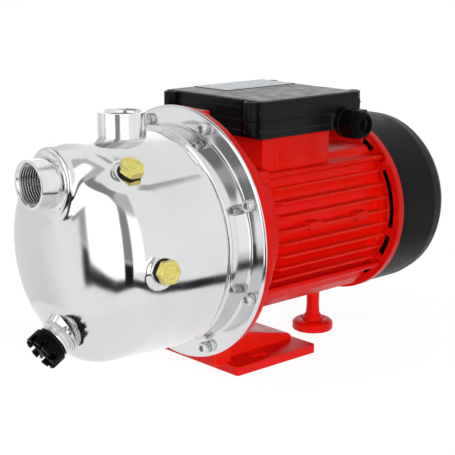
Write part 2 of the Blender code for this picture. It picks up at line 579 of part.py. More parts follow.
def make_housing():
    frame = Matrix.Translation(on_shaft(FIN_START_X)) @ Matrix(((0, 0, 1, 0), (1, 0, 0, 0), (0, 1, 0, 0), (0, 0, 0, 1)))
    housing = add_part("motor_housing", prism(fin_outline(), FIN_END_X - FIN_START_X, frame), "red_paint", AXIS)
    tube = [(HOUSING_FRONT_X, 0), (HOUSING_FRONT_X, HOUSING_RIM_R), (FIN_START_X - 2, HOUSING_RIM_R),
            (FIN_START_X + 1, HOUSING_OUT_R), (HOUSING_END_X - 3, HOUSING_OUT_R + 0.2), (HOUSING_END_X - 3, 66.0),
            (HOUSING_END_X, 66.0), (HOUSING_END_X, 0)]
    unite(housing, lathe(tube, AXIS, TO_FAN, 36), "tube")
    unite(housing, block((PEDESTAL_X0, -PEDESTAL_HALF_Y, SHAFT_Z + 33),
                         (PEDESTAL_X1, PEDESTAL_HALF_Y, PEDESTAL_TOP)), "pedestal")
    for n, side in enumerate((-1, 1)):
        y0, y1 = sorted((side * 34.0, side * 52.0))
        unite(housing, block((PEDESTAL_X1 - 3, y0, SHAFT_Z + 40), (FIN_END_X, y1, SHAFT_Z + 58)), f"rail{n}")
    cut(housing, rod(HOUSING_IN_R, on_shaft(HOUSING_FRONT_X - 2), TO_FAN, 150, 32, phase=0.04), "bore")
    cut(housing, block((PEDESTAL_X0 + 4.3, -42, SHAFT_Z + 61.7), (PEDESTAL_X1 - 4.1, 42, PEDESTAL_TOP + 2)), "well")
    cut(housing, rod(7, on_shaft(22, rise=50), UP, 16, 16), "wireway")
    rings = []
    for x in (9.5, 38.2):
        section = [(0, 8.0), (0, 8.6), (1.2, 8.6), (1.2, 8.0)]
        rings.append(lathe(section, (x, -PEDESTAL_HALF_Y - 0.4, 182.6), (0, 1, 0), 12, closed=True))
    cut(housing, joined(rings), "knockouts")


def make_motor_core():
    stator = [(18, 33.2), (18, HOUSING_IN_R - GAP), (88, HOUSING_IN_R - GAP), (88, 33.2)]
    add_part("stator_core", lathe(stator, AXIS, TO_FAN, 32, closed=True), "lamination_steel", AXIS)
    for name, x0, x1 in (("stator_winding_front", -2.0, 18 - GAP), ("stator_winding_rear", 88 + GAP, 104.0)):
        ring = [(x0, 37), (x1, 36), (x1, 52), (x0 + 3, 52), (x0, 49)]
        add_part(name, lathe(ring, AXIS, TO_FAN, 20, closed=True), "copper", AXIS)
    core = [(18, 9.0 + GAP), (18, 32.6), (88, 32.6), (88, 9.0 + GAP)]
    add_part("rotor_core", lathe(core, AXIS, TO_FAN, 28, closed=True), "lamination_steel", AXIS)


def make_shaft():
    steps = [(-94, 0), (-94, 4.1), (-84.2, 4.1), (-84.2, 7.0), (-40, 7.0), (-36, 8.5), (-23, 8.5), (-23, 11.0),
             (-6, 11.0), (-6, 9.0), (107.5, 9.0), (107.5, 7.5), (121, 7.5), (121, 6.5), (158, 6.5), (158, 0)]
    add_part("shaft", lathe(steps, AXIS, TO_FAN, 18), "shaft_steel", AXIS)


def bearing(name, x, bore_r, outer_r, width):
    """Ball bearing as an inner ring that turns and an outer ring that stays."""
    race_in = bore_r + (outer_r - bore_r) * 0.36
    race_out = bore_r + (outer_r - bore_r) * 0.64
    inner = [(x, bore_r + GAP), (x, race_in), (x + width, race_in), (x + width, bore_r + GAP)]
    outer = [(x, race_out), (x, outer_r), (x + width, outer_r), (x + width, race_out)]
    add_part(f"{name}_inner", lathe(inner, AXIS, TO_FAN, 18, closed=True), "shaft_steel", AXIS)
    add_part(f"{name}_outer", lathe(outer, AXIS, TO_FAN, 18, closed=True), "shaft_steel", AXIS)


def make_rear_end_shield():
    x0, x1 = SHIELD_X, SHIELD_X + SHIELD_T
    seat_r, spigot_x, spigot_r = 17.5 + GAP, HOUSING_END_X - 4, HOUSING_IN_R - GAP
    plate = [(107.6, seat_r), (107.6, 23.5), (x0, 23.5), (x0, 53.5), (spigot_x, 53.5), (spigot_x, spigot_r),
             (x0, spigot_r), (x0, SHIELD_R), (x1, SHIELD_R), (x1, 77.2), (x1 + 5, 77.2),
             (x1 + 5, 75.2), (x1, 75.2), (x1, 9.5), (119.6, 9.5), (119.6, seat_r)]
    shield = add_part("rear_end_shield", lathe(plate, AXIS, TO_FAN, 32, closed=True), "red_paint", AXIS)
    frame = axis_frame(on_shaft(x0 - 3), TO_FAN)
    slots = []
    for start, end in ((29, 41), (58, 101), (107, 124), (136, 147)):
        slots.append(prism(arc_slot(69.5, 74.4, 90 + start, 90 + end), SHIELD_T + 6, frame))
        slots.append(prism(arc_slot(69.5, 74.4, 90 - end, 90 - start), SHIELD_T + 6, frame))
    for start in range(13, 360, 60):
        slots.append(prism(arc_slot(30.0, 48.0, start, start + 34), SHIELD_T + 6, frame))
    for y, rise in rod_centres():
        bore = [(-3, 0), (-3, 3.4), (3, 3.4), (3, 4.8), (SHIELD_T + 8, 4.8), (SHIELD_T + 8, 0)]
        slots.append(lathe(bore, on_shaft(x0, y, rise), TO_FAN, 8, phase=0.1))
    cut(shield, joined(slots), "slots")


def make_tie_rods():
    for n, (y, rise) in enumerate(rod_centres()):
        start = on_shaft(LUG_END_X - 8, y, rise)
        length = SHIELD_X + SHIELD_T - 0.2 - start.x
        shape = [(0, 0), (0, ROD_R), (length - 3.5, ROD_R), (length - 3.5, 4.2), (length, 4.2), (length, 0)]
        add_part(f"tie_rod_{n + 1}", lathe(shape, start, TO_FAN, 8), "red_paint", start)


def make_fan():
    frame = axis_frame(on_shaft(FAN_X), TO_FAN)
    fan = add_part("fan", prism(vane_wheel(17, FAN_R, 9, 2.2, 0.0), 20, frame), "engineering_plastic", AXIS)
    disc = [(FAN_X - 2, 0), (FAN_X - 2, 52), (FAN_X + 0.5, 52), (FAN_X + 0.5, 0)]
    unite(fan, lathe(disc, AXIS, TO_FAN, 28), "disc")
    cut(fan, rod(6.5 + GAP, on_shaft(FAN_X - 4), TO_FAN, 30, 14), "bore")


def make_fan_cover():
    t = COVER_T
    section = [(COVER_X, COVER_R - t), (COVER_X, COVER_R), (COVER_SHOULDER_X, COVER_R),
               (COVER_SHOULDER_X + 9, COVER_R - 2.2), (COVER_END_X - 2, COVER_END_R), (COVER_END_X, COVER_END_R - 3),
               (COVER_END_X, 0)]
    inner = [(COVER_END_X - t, 0), (COVER_END_X - t, COVER_END_R - 4), (COVER_SHOULDER_X + 8, COVER_R - 2.2 - t),
             (COVER_SHOULDER_X - 1, COVER_R - t)]
    profile = inner + section
    cover = add_part("fan_cover", lathe(profile, AXIS, TO_FAN, 36), "black_plastic", AXIS)
    frame = axis_frame(on_shaft(COVER_END_X - 6), TO_FAN)
    slots = []
    for k in range(12):
        turned = frame @ Matrix.Rotation(2 * math.pi * (k + 0.3) / 12, 4, "Z")
        slots.append(prism([(20, -3.0), (60, -9.5), (60, 9.5), (20, 3.0)], 12, turned))
    cut(cover, joined(slots), "grille")


# ---------------------------------------------------------------- terminal box
def box_columns(radius, z0, z1, steps=12):
    """Round screw columns that stand out of the two end faces."""
    spots = [(x, side * COLUMN_Y) for x in (BOX_X0 + 1.5, BOX_X1 - 1.5) for side in (-1, 1)]
    return [rod(radius, (x, y, z0), UP, z1 - z0, steps) for x, y in spots]


def box_shell(name, z0, z1, floor_at):
    """One half of the box: rectangular walls, a floor or a roof, and its screw columns."""
    outline = rounded_rectangle(BOX_X0, BOX_X1, -BOX_HALF_Y, BOX_HALF_Y, 3.0, 2)
    shell = add_part(name, prism(outline, z1 - z0, Matrix.Translation((0, 0, z0))), "black_plastic",
                     (BOX_X0, 0, z0))
    unite(shell, joined(box_columns(COLUMN_R, z0, z1 - (1.4 if floor_at == "top" else 0))), "columns")
    low = z0 - 2 if floor_at == "top" else z0 + BOX_WALL
    high = z1 - BOX_WALL if floor_at == "top" else z1 + 2
    room = rounded_rectangle(BOX_X0 + 9.5, BOX_X1 - 9.5, -BOX_HALF_Y + BOX_WALL, BOX_HALF_Y - BOX_WALL, 2.0, 2)
    cut(shell, prism(room, high - low, Matrix.Translation((0, 0, low))), "room")
    return shell


def make_terminal_box():
    base = box_shell("terminal_box_base", BOX_Z0, BOX_SPLIT_Z - 1.0, "bottom")
    cut(base, block((PEDESTAL_X0 + 8, -40, BOX_Z0 - 3), (PEDESTAL_X1 - 6, 40, BOX_Z0 + 6)), "window")
    cut(base, rod(7.0, (GLAND_X, -BOX_HALF_Y - 4, GLAND_Z), (0, 1, 0), 12, 24), "gland_hole")
    cut(base, joined(box_columns(1.8 + GAP, BOX_Z0 + 4, BOX_SPLIT_Z + 2, 8)), "screws")
    lid = box_shell("terminal_box_lid", BOX_SPLIT_Z + 0.3, BOX_TOP, "top")
    cut(lid, joined(box_columns(1.8 + GAP, BOX_SPLIT_Z - 2, BOX_TOP - 2, 8)), "screws")
    cut(lid, joined(box_columns(4.3, BOX_TOP - 5.4, BOX_TOP + 2, 12)), "recess")

    seal = rounded_rectangle(BOX_X0 + 6.5, BOX_X1 - 6.5, -BOX_HALF_Y + 0.4, BOX_HALF_Y - 0.4, 2.0, 2)
    gasket = add_part("terminal_box_gasket", prism(seal, 0.7, Matrix.Translation((0, 0, BOX_SPLIT_Z - 0.7))),
                      "black_rubber")
    inside = rounded_rectangle(BOX_X0 + 9, BOX_X1 - 9, -BOX_HALF_Y + 2.4, BOX_HALF_Y - 2.4, 2.0, 2)
    cut(gasket, prism(inside, 4, Matrix.Translation((0, 0, BOX_SPLIT_Z - 2))), "inside")
    cut(gasket, joined(box_columns(2.6, BOX_SPLIT_Z - 2, BOX_SPLIT_Z + 2, 8)), "screws")

    for n, (x, y) in enumerate([(x, side * COLUMN_Y) for x in (BOX_X0 + 1.5, BOX_X1 - 1.5) for side in (-1, 1)]):
        under = (x, y, BOX_TOP - 5.1)
        shape = [(-18, 0), (-18, 1.8), (0, 1.8), (0, 3.7), (1.8, 3.7), (2.6, 2.6), (2.6, 0)]
        screw = add_part(f"lid_screw_{n + 1}", lathe(shape, under, UP, 8), "bolt_steel", under)
        slot = [block((x - 2, y - 0.4, BOX_TOP - 3.6), (x + 2, y + 0.4, BOX_TOP))]
        cut(screw, joined(slot), "slot")

    plate = rounded_rectangle(0, 85, 15, 59, 2.0, 2)
    add_part("rating_plate", prism(plate, 0.5, Matrix.Translation((0, 0, BOX_TOP + 0.2))), "label_aluminium")


def make_box_contents():
    middle = (20.0, -36.0, SHAFT_Z + 61.5 + 17.0)
    can = [(0, 0), (0, 15.0), (1.5, 16.5), (66, 16.5), (68, 15.0), (68, 6.0), (72, 6.0), (72, 0)]
    add_part("capacitor", lathe(can, middle, (0, 1, 0), 16), "light_plastic", middle)
    floor = BOX_Z0 + BOX_WALL + GAP
    block_part = add_part("terminal_block", block((61, -28, floor), (76, 22, floor + 9)), "light_plastic")
    wells = [rod(2.4, (68.5, -22 + 9.5 * k, floor + 4), UP, 8, 8) for k in range(5)]
    cut(block_part, joined(wells), "wells")


def make_gland():
    """Cable gland on the box wall: threaded body, clamping ring and cap nut."""
    face = Vector((GLAND_X, -BOX_HALF_Y, GLAND_Z))
    out = (0, -1, 0)
    section = [(-8, 4.6), (-8, 6.7), (GAP, 6.7), (GAP, 13.0), (6.5, 13.0), (6.5, 9.6), (14.5, 9.6),
               (14.5, 7.2), (2, 7.2), (0, 4.6)]
    add_part("gland_body", lathe(section, face, out, 18, closed=True), "black_plastic", face)
    ring = [(14.5 + GAP, 7.0), (14.5 + GAP, 9.3), (19.5, 9.3), (21, 8.6), (21, 7.0)]
    add_part("gland_seal", lathe(ring, face, out, 16, closed=True), "black_rubber", face)
    nut = prism(hexagon(GLAND_FLATS), 19.0, axis_frame(face + Vector((0, -7.0, 0)), out))
    cap = add_part("gland_nut", nut, "black_plastic", face)
    cut(cap, lathe([(2, 0), (2, 9.9), (21.3, 9.9), (22.5, 6.9), (30, 6.9), (30, 0)], face, out, 18), "bore")


def main():
    make_casing()
    make_sockets()
    make_plugs()
    make_ejector()
    make_hydraulics()
    make_flange_bolts()
    make_bracket()
    make_base()
    make_rear_foot()
    make_housing()
    make_motor_core()
    make_shaft()
    bearing("front_bearing", BEARING_FRONT_X, 8.5, 20.0, 12.0)
    bearing("rear_bearing", BEARING_REAR_X, 7.5, 17.5, 11.0)
    make_rear_end_shield()
    make_tie_rods()
    make_fan()
    make_fan_cover()
    make_terminal_box()
    make_box_contents()
    make_gland()


main()
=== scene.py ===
"""Looks of the shallow well jet pump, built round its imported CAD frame.

Shapes are drawn in millimetres in the CAD's frame: the origin is under the base foot, +Z is up
and +X runs along the shaft towards the fan.
"""

import json
from math import atan2, cos, hypot, pi, radians, sin, sqrt, tan

import bmesh
import bpy
import numpy as np
from mathutils import Matrix, Vector


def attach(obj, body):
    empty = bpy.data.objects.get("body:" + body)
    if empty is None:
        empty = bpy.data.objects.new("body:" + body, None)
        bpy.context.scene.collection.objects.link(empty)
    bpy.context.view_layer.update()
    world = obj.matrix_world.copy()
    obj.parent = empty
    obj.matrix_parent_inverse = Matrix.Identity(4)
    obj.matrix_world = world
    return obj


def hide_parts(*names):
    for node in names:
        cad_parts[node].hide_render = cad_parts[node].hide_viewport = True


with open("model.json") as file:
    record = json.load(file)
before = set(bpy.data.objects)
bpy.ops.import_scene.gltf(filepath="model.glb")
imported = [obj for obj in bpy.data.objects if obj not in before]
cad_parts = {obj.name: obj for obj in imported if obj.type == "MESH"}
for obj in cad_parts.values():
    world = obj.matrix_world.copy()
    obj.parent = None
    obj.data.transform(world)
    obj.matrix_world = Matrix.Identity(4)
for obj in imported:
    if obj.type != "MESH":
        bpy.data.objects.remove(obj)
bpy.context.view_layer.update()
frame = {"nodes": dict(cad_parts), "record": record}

MM = 0.001
SHAFT_Z = 119.0
AXIS = Vector((0.0, 0.0, SHAFT_Z))
UP, TO_FAN, TO_PORT, TO_SIDE = (0, 0, 1), (1, 0, 0), (-1, 0, 0), (0, -1, 0)


# ---------------------------------------------------------------- shape helpers
def axis_frame(origin, direction):
    """Matrix that carries local +Z onto direction, with its origin at origin."""
    turn = Vector(direction).to_track_quat("Z", "Y").to_matrix().to_4x4()
    return Matrix.Translation(Vector(origin)) @ turn


def finish(bm, place):
    bmesh.ops.transform(bm, matrix=place, verts=bm.verts)
    bmesh.ops.recalc_face_normals(bm, faces=bm.faces)
    return bm


def fillet(points, radius=0.6, closed=True, steps=3):
    """Round an outline's corners; a point's third number is its own radius."""
    rounded = []
    count = len(points)
    for k, point in enumerate(points):
        here = Vector(point[:2])
        size = point[2] if len(point) > 2 else radius
        if size <= 0 or (not closed and k in (0, count - 1)):
            rounded.append(tuple(here))
            continue
        back = Vector(points[k - 1][:2]) - here
        ahead = Vector(points[(k + 1) % count][:2]) - here
        if back.length < 1e-6 or ahead.length < 1e-6:
            rounded.append(tuple(here))
            continue
        corner = back.angle(ahead)
        if corner > pi - 0.02:
            rounded.append(tuple(here))
            continue
        reach = min(size / tan(corner / 2), 0.48 * back.length, 0.48 * ahead.length)
        start = here + back.normalized() * reach
        end = here + ahead.normalized() * reach
        for n in range(steps + 1):
            t = n / steps
            rounded.append(tuple((1 - t) ** 2 * start + 2 * t * (1 - t) * here + t * t * end))
    return rounded


def lathe(profile, origin, direction, steps=96, closed=False):
    """Turn (height, radius) points about the line through origin along direction."""
    bm = bmesh.new()
    rows = []
    for height, radius in profile:
        if radius < 1e-6:
            rows.append([bm.verts.new((0, 0, height))])
            continue
        angles = [2 * pi * k / steps for k in range(steps)]
        rows.append([bm.verts.new((radius * cos(a), radius * sin(a), height)) for a in angles])
    skin(bm, rows, steps, closed)
    return finish(bm, axis_frame(origin, direction))


def turned(points, radius, origin, direction, steps, closed=False):
    """Turn a profile with rounded corners round an axis."""
    return lathe(fillet(points, radius, closed), origin, direction, steps, closed)


def skin(bm, rows, steps, closed=False):
    """Join rows of vertices, each a ring or a single point, into quads."""
    pairs = list(zip(rows, rows[1:]))
    if closed:
        pairs.append((rows[-1], rows[0]))
    for low, high in pairs:
        if len(low) == 1 and len(high) == 1:
            continue
        for k in range(steps):
            corners = [low[k % len(low)], low[(k + 1) % len(low)], high[(k + 1) % len(high)],
                    high[k % len(high)]]
            bm.faces.new(list(dict.fromkeys(corners)))


def polar(rings, place, steps=96):
    """Skin a solid through rings; a ring is a (radius, height) pair or a function of the angle."""
    bm = bmesh.new()
    rows = []
    for ring in rings:
        if not callable(ring) and ring[0] < 1e-6:
            rows.append([bm.verts.new((0, 0, ring[1]))])
            continue
        row = []
        for k in range(steps):
            a = 2 * pi * k / steps
            radius, height = ring(a) if callable(ring) else ring
            row.append(bm.verts.new((radius * cos(a), radius * sin(a), height)))
        rows.append(row)
    skin(bm, rows, steps)
    return finish(bm, place)


def prism(outline, height, place):
    """Extrude a flat outline of (u, v) points by height along the frame's local +Z."""
    bm = bmesh.new()
    face = bm.faces.new([bm.verts.new((u, v, 0)) for u, v in outline])
    grown = bmesh.ops.extrude_face_region(bm, geom=[face])
    tops = [item for item in grown["geom"] if isinstance(item, bmesh.types.BMVert)]
    bmesh.ops.translate(bm, verts=tops, vec=(0, 0, height))
    return finish(bm, place)


def block(low, high):
    bm = bmesh.new()
    bmesh.ops.create_cube(bm, size=1.0)
    size = Vector(high) - Vector(low)
    middle = (Vector(high) + Vector(low)) / 2
    return finish(bm, Matrix.Translation(middle) @ Matrix.Diagonal((*size, 1.0)))


def rounded_rectangle(u0, u1, v0, v1, radius, steps=6):
    corners = [(u1 - radius, v1 - radius, 0), (u0 + radius, v1 - radius, 90), (u0 + radius, v0 + radius, 180),
            (u1 - radius, v0 + radius, 270)]
    points = []
    for u, v, start in corners:
        for k in range(steps + 1):
            a = radians(start + 90 * k / steps)
            points.append((u + radius * cos(a), v + radius * sin(a)))
    return points


def along_x(x):
    """Frame whose local u, v, w are world Y, Z, X, with its origin on the shaft at x."""
    return Matrix.Translation((x, 0, SHAFT_Z)) @ Matrix(((0, 0, 1, 0), (1, 0, 0, 0), (0, 1, 0, 0),
            (0, 0, 0, 1)))


def joined(parts):
    whole = bmesh.new()
    for part in parts:
        spare = bpy.data.meshes.new("spare")
        part.to_mesh(spare)
        whole.from_mesh(spare)
        bpy.data.meshes.remove(spare)
        part.free()
    return whole


def tube_ring(radius, thickness, origin, direction, steps=144, ripple=0.0, ripples=60):
    """Weld bead or cord ring: a round section swept round a circle, with an optional ripple."""
    bm = bmesh.new()
    rows = []
    for n in range(10):
        b = 2 * pi * n / 10
        row = []
        for k in range(steps):
            a = 2 * pi * k / steps
            size = thickness * (1 + ripple * cos(ripples * a))
            reach = radius + size * cos(b)
            row.append(bm.verts.new((reach * cos(a), reach * sin(a), size * sin(b))))
        rows.append(row)
    skin(bm, rows, steps, closed=True)
    return finish(bm, axis_frame(origin, direction))


def thread_skin(radius, depth, pitch, z0, z1, origin, direction, steps=96, fine=10):
    """Open surface of a right-hand screw thread, radius at its low points."""
    bm = bmesh.new()
    rows = []
    for n in range(int((z1 - z0) / pitch * fine) + 1):
        z = z0 + pitch * n / fine
        row = []
        for k in range(steps):
            turn = z / pitch - k / steps
            reach = radius + depth * (0.5 + 0.5 * cos(2 * pi * turn))
            a = 2 * pi * k / steps
            row.append(bm.verts.new((reach * cos(a), reach * sin(a), z)))
        rows.append(row)
    skin(bm, rows, steps)
    return finish(bm, axis_frame(origin, direction))


def link(obj):
    bpy.context.scene.collection.objects.link(obj)
    return obj


def mesh_object(name, bm):
    """Store a bmesh drawn in millimetres as an object."""
    bmesh.ops.transform(bm, matrix=Matrix.Scale(MM, 4), verts=bm.verts)
    mesh = bpy.data.meshes.new(name)
    bm.to_mesh(mesh)
    bm.free()
    return link(bpy.data.objects.new(name, mesh))


def soften(obj, width, segments=3, angle=30):
    """Round the edges sharper than angle."""
    edge = obj.modifiers.new("edge", "BEVEL")
    edge.width, edge.segments = width * MM, segments
    edge.limit_method, edge.angle_limit = "ANGLE", radians(angle)


def even_normals(obj):
    obj.modifiers.new("normals", "WEIGHTED_NORMAL").keep_sharp = True


def piece(name, bm, look, body="pump", stands_for=(), bevel=0.0, segments=3, angle=30):
    """Store a bmesh drawn in millimetres as a piece that rides on a body."""
    obj = mesh_object(name, bm)
    obj.data.materials.append(mats[look])
    obj.data.shade_smooth()
    if bevel:
        soften(obj, bevel, segments, angle)
        even_normals(obj)
    else:
        obj.data.set_sharp_from_angle(angle=radians(angle))
    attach(obj, body)
    if stands_for:
        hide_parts(*stands_for)
    return obj


def cut(obj, bm, tag):
    """Take a closed shape out of a piece and keep only the result."""
    tool = mesh_object(tag, bm)
    change = obj.modifiers.new(tag, "BOOLEAN")
    change.operation = "DIFFERENCE"
    change.object = tool
    bpy.context.view_layer.update()
    graph = bpy.context.evaluated_depsgraph_get()
    result = bpy.data.meshes.new_from_object(obj.evaluated_get(graph))
    obj.modifiers.clear()
    obj.data = result
    bpy.data.objects.remove(tool)


# ---------------------------------------------------------------- materials
def add_node(tree, kind, **values):
    """Add a shader node and set its inputs; an underscore in a name stands for a space."""
    node = tree.nodes.new("ShaderNode" + kind)
    for name, value in values.items():
        node.inputs[name.replace("_", " ")].default_value = value
    return node


class Shader:
    """A Principled material whose colour, roughness and bump come from noise in object space."""

    def __init__(self, name, colour, roughness, metallic=0.0, **constants):
        self.mat = bpy.data.materials.new(name)
        self.mat.use_nodes = True
        self.tree = self.mat.node_tree
        self.links = self.tree.links
        self.base = self.tree.nodes["Principled BSDF"]
        self.base.inputs["Base Color"].default_value = (*colour, 1)
        self.base.inputs["Roughness"].default_value = roughness
        self.base.inputs["Metallic"].default_value = metallic
        for socket, value in constants.items():
            self.base.inputs[socket.replace("_", " ")].default_value = value
        self.colour = colour
        self.coord = add_node(self.tree, "TexCoord")
        self.last_bump = None

    def noise(self, scale, stretch=(1, 1, 1)):
        mapping = add_node(self.tree, "Mapping", Scale=stretch)
        tex = add_node(self.tree, "TexNoise", Scale=scale, Detail=4.0, Roughness=0.55)
        self.links.new(self.coord.outputs["Object"], mapping.inputs["Vector"])
        self.links.new(mapping.outputs["Vector"], tex.inputs["Vector"])
        return tex.outputs["Fac"]

    def spread(self, value, low, high, out_low, out_high):
        span = add_node(self.tree, "MapRange", From_Min=low, From_Max=high, To_Min=out_low, To_Max=out_high)
        self.links.new(value, span.inputs["Value"])
        return span.outputs["Result"]

    def blend(self, share, other):
        """Lay another colour over the base colour."""
        mix = add_node(self.tree, "Mix")
        mix.data_type = "RGBA"
        socket = self.base.inputs["Base Color"]
        if socket.is_linked:
            self.links.new(socket.links[0].from_socket, mix.inputs[6])
        else:
            mix.inputs[6].default_value = (*self.colour, 1)
        mix.inputs[7].default_value = (*other, 1)
        self.links.new(share, mix.inputs[0])
        self.links.new(mix.outputs[2], socket)
        return self

    def tint(self, other, scale, amount):
        """Drift the base colour towards another one in soft patches."""
        return self.blend(self.spread(self.noise(scale), 0.35, 0.7, 0.0, amount), other)

    def brushed_round_x(self):
        """Turn the shader's grain so that it runs round the shaft."""
        tangent = add_node(self.tree, "Tangent")
        tangent.direction_type = "RADIAL"
        tangent.axis = "X"
        self.links.new(tangent.outputs["Tangent"], self.base.inputs["Tangent"])
        return self

    def edges(self, other, amount):
        """Lighter convex edges: partly wear, partly a painted highlight."""
        geometry = add_node(self.tree, "NewGeometry")
        return self.blend(self.spread(geometry.outputs["Pointiness"], 0.52, 0.62, 0.0, amount), other)

    def vary(self, scale, low, high):
        """Vary the roughness between two values."""
        value = self.spread(self.noise(scale), 0.3, 0.7, low, high)
        self.links.new(value, self.base.inputs["Roughness"])
        return self

    def bump(self, scale, depth, strength, stretch=(1, 1, 1)):
        """Add a relief of the given depth in metres."""
        node = add_node(self.tree, "Bump", Strength=strength, Distance=depth)
        self.links.new(self.noise(scale, stretch), node.inputs["Height"])
        if self.last_bump:
            self.links.new(self.last_bump, node.inputs["Normal"])
        self.last_bump = node.outputs["Normal"]
        self.links.new(self.last_bump, self.base.inputs["Normal"])
        return self


def make_materials():
    mats = {}
    # Fine turning lines run round the shaft: quick change along X, slow across it
    around = (1.0, 0.05, 0.05)
    mats["mirror"] = (
        Shader("mirror_stainless", (0.715, 0.72, 0.725), 0.08, 1.0, Anisotropic=0.6)
        .brushed_round_x().tint((0.62, 0.625, 0.63), 14, 0.6).vary(30, 0.065, 0.13)
        .bump(1300, 0.00003, 0.26, around).bump(24, 0.0010, 0.05)).mat
    mats["copper"] = (
        Shader("varnished_copper", (0.72, 0.34, 0.16), 0.32, 1.0, Coat_Weight=0.4)
        .tint((0.48, 0.20, 0.09), 200, 0.8).vary(200, 0.25, 0.42).bump(1200, 0.0003, 0.8)).mat
    # In the red, black and cover shaders, edges() lightens convex edges: partly wear, partly a painted
    # highlight
    mats["red"] = (
        Shader("red_enamel", (0.80, 0.005, 0.002), 0.30, Specular_IOR_Level=0.15)
        .tint((0.64, 0.003, 0.0015), 28, 0.7).tint((0.84, 0.010, 0.004), 90, 0.45)
        .edges((0.86, 0.05, 0.025), 0.5).vary(70, 0.26, 0.42).bump(260, 0.00022, 0.30)
        .bump(1100, 0.00008, 0.22)).mat
    mats["black"] = (
        Shader("satin_black_moulding", (0.0030, 0.0030, 0.0034), 0.28, Specular_IOR_Level=0.10)
        .tint((0.007, 0.007, 0.0075), 60, 0.8).vary(110, 0.24, 0.38).edges((0.05, 0.05, 0.055), 0.5)
        .bump(2200, 0.00006, 0.25)).mat
    mats["cover"] = (
        Shader("textured_black_cover", (0.0030, 0.0030, 0.0034), 0.38, Specular_IOR_Level=0.08)
        .tint((0.007, 0.007, 0.0075), 45, 0.8).vary(90, 0.34, 0.46).edges((0.06, 0.06, 0.065), 0.5)
        .bump(1500, 0.00012, 0.4)).mat
    plain = [
        # Key, name, colour, roughness, metallic, specular, then what tint, vary and bump take
        ("flange", "flange_stainless", (0.80, 0.81, 0.82), 0.20, 1.0, 0.5,
         ((0.70, 0.71, 0.73), 30, 0.6), (60, 0.15, 0.27), (900, 0.00004, 0.15)),
        ("socket", "turned_stainless", (0.78, 0.78, 0.78), 0.12, 1.0, 0.5,
         ((0.62, 0.62, 0.63), 60, 0.7), (90, 0.07, 0.22), (1400, 0.00003, 0.25, (1, 1, 0.08))),
        ("spot_face", "spot_faced_stainless", (0.70, 0.70, 0.71), 0.34, 1.0, 0.5,
         ((0.55, 0.55, 0.56), 90, 0.7), (140, 0.28, 0.42), (900, 0.00005, 0.4)),
        ("thread", "cut_thread_stainless", (0.52, 0.52, 0.52), 0.22, 1.0, 0.5,
         ((0.40, 0.40, 0.40), 60, 0.8), (120, 0.18, 0.30), (900, 0.00002, 0.12)),
        ("weld", "weld_bead", (0.70, 0.69, 0.67), 0.24, 1.0, 0.5,
         ((0.50, 0.47, 0.44), 120, 0.6), (150, 0.16, 0.38), (500, 0.0002, 0.5)),
        ("bolt", "bright_screw_steel", (0.74, 0.74, 0.75), 0.16, 1.0, 0.5,
         ((0.50, 0.50, 0.52), 160, 0.6), (200, 0.10, 0.26), (1500, 0.00003, 0.3)),
        ("shaft", "ground_steel", (0.56, 0.57, 0.59), 0.25, 1.0, 0.5,
         ((0.42, 0.43, 0.45), 80, 0.6), (120, 0.18, 0.34), (1800, 0.00003, 0.25, around)),
        ("lamination", "laminated_steel", (0.30, 0.30, 0.32), 0.45, 1.0, 0.5,
         ((0.20, 0.19, 0.19), 120, 0.8), (200, 0.35, 0.55), (2000, 0.00008, 0.6, (1.0, 0.02, 0.02))),
        ("brass", "machined_brass", (0.74, 0.66, 0.20), 0.26, 1.0, 0.5,
         ((0.60, 0.50, 0.12), 110, 0.7), (160, 0.18, 0.36), (1300, 0.00004, 0.4)),
        # Near-black red: painted shade for the floor of the knock-out grooves
        ("red_painted_shade", "red_enamel_painted_groove_shade", (0.10, 0.001, 0.001), 0.55, 0.0, 0.10,
         ((0.05, 0.001, 0.001), 60, 0.6), (90, 0.45, 0.65), (900, 0.00008, 0.3)),
        ("cap", "nylon_black", (0.0024, 0.0024, 0.0027), 0.34, 0.0, 0.04,
         ((0.005, 0.005, 0.0055), 70, 0.6), (60, 0.28, 0.46), (700, 0.00012, 0.25)),
        ("nylon", "filled_nylon", (0.05, 0.05, 0.055), 0.45, 0.0, 0.5,
         ((0.08, 0.08, 0.085), 90, 0.7), (140, 0.38, 0.55), (1400, 0.0001, 0.4)),
        ("light", "ivory_moulding", (0.72, 0.72, 0.67), 0.40, 0.0, 0.5,
         ((0.62, 0.61, 0.55), 70, 0.7), (120, 0.34, 0.50), (1200, 0.00008, 0.4)),
        ("rubber", "black_rubber", (0.006, 0.006, 0.006), 0.70, 0.0, 0.25,
         ((0.022, 0.021, 0.020), 150, 0.8), (200, 0.66, 0.84), (900, 0.00012, 0.5)),
        ("ceramic", "lapped_ceramic", (0.80, 0.78, 0.72), 0.28, 0.0, 0.5,
         ((0.72, 0.69, 0.62), 150, 0.6), (200, 0.22, 0.36), (1500, 0.00003, 0.3)),
        ("label", "silver_label", (0.46, 0.50, 0.53), 0.40, 0.5, 0.5,
         ((0.50, 0.53, 0.56), 90, 0.5), (160, 0.30, 0.46), (1600, 0.00003, 0.3, (0.05, 1, 1))),
        ("label_ink", "label_border_ink", (0.03, 0.03, 0.04), 0.45, 0.0, 0.5,
         ((0.06, 0.06, 0.07), 200, 0.6), (200, 0.38, 0.55), (1500, 0.00002, 0.2))]
    for key, name, colour, roughness, metallic, specular, tint, vary, bump in plain:
        shader = Shader(name, colour, roughness, metallic, Specular_IOR_Level=specular)
        mats[key] = shader.tint(*tint).vary(*vary).bump(*bump).mat
    return mats


mats = make_materials()


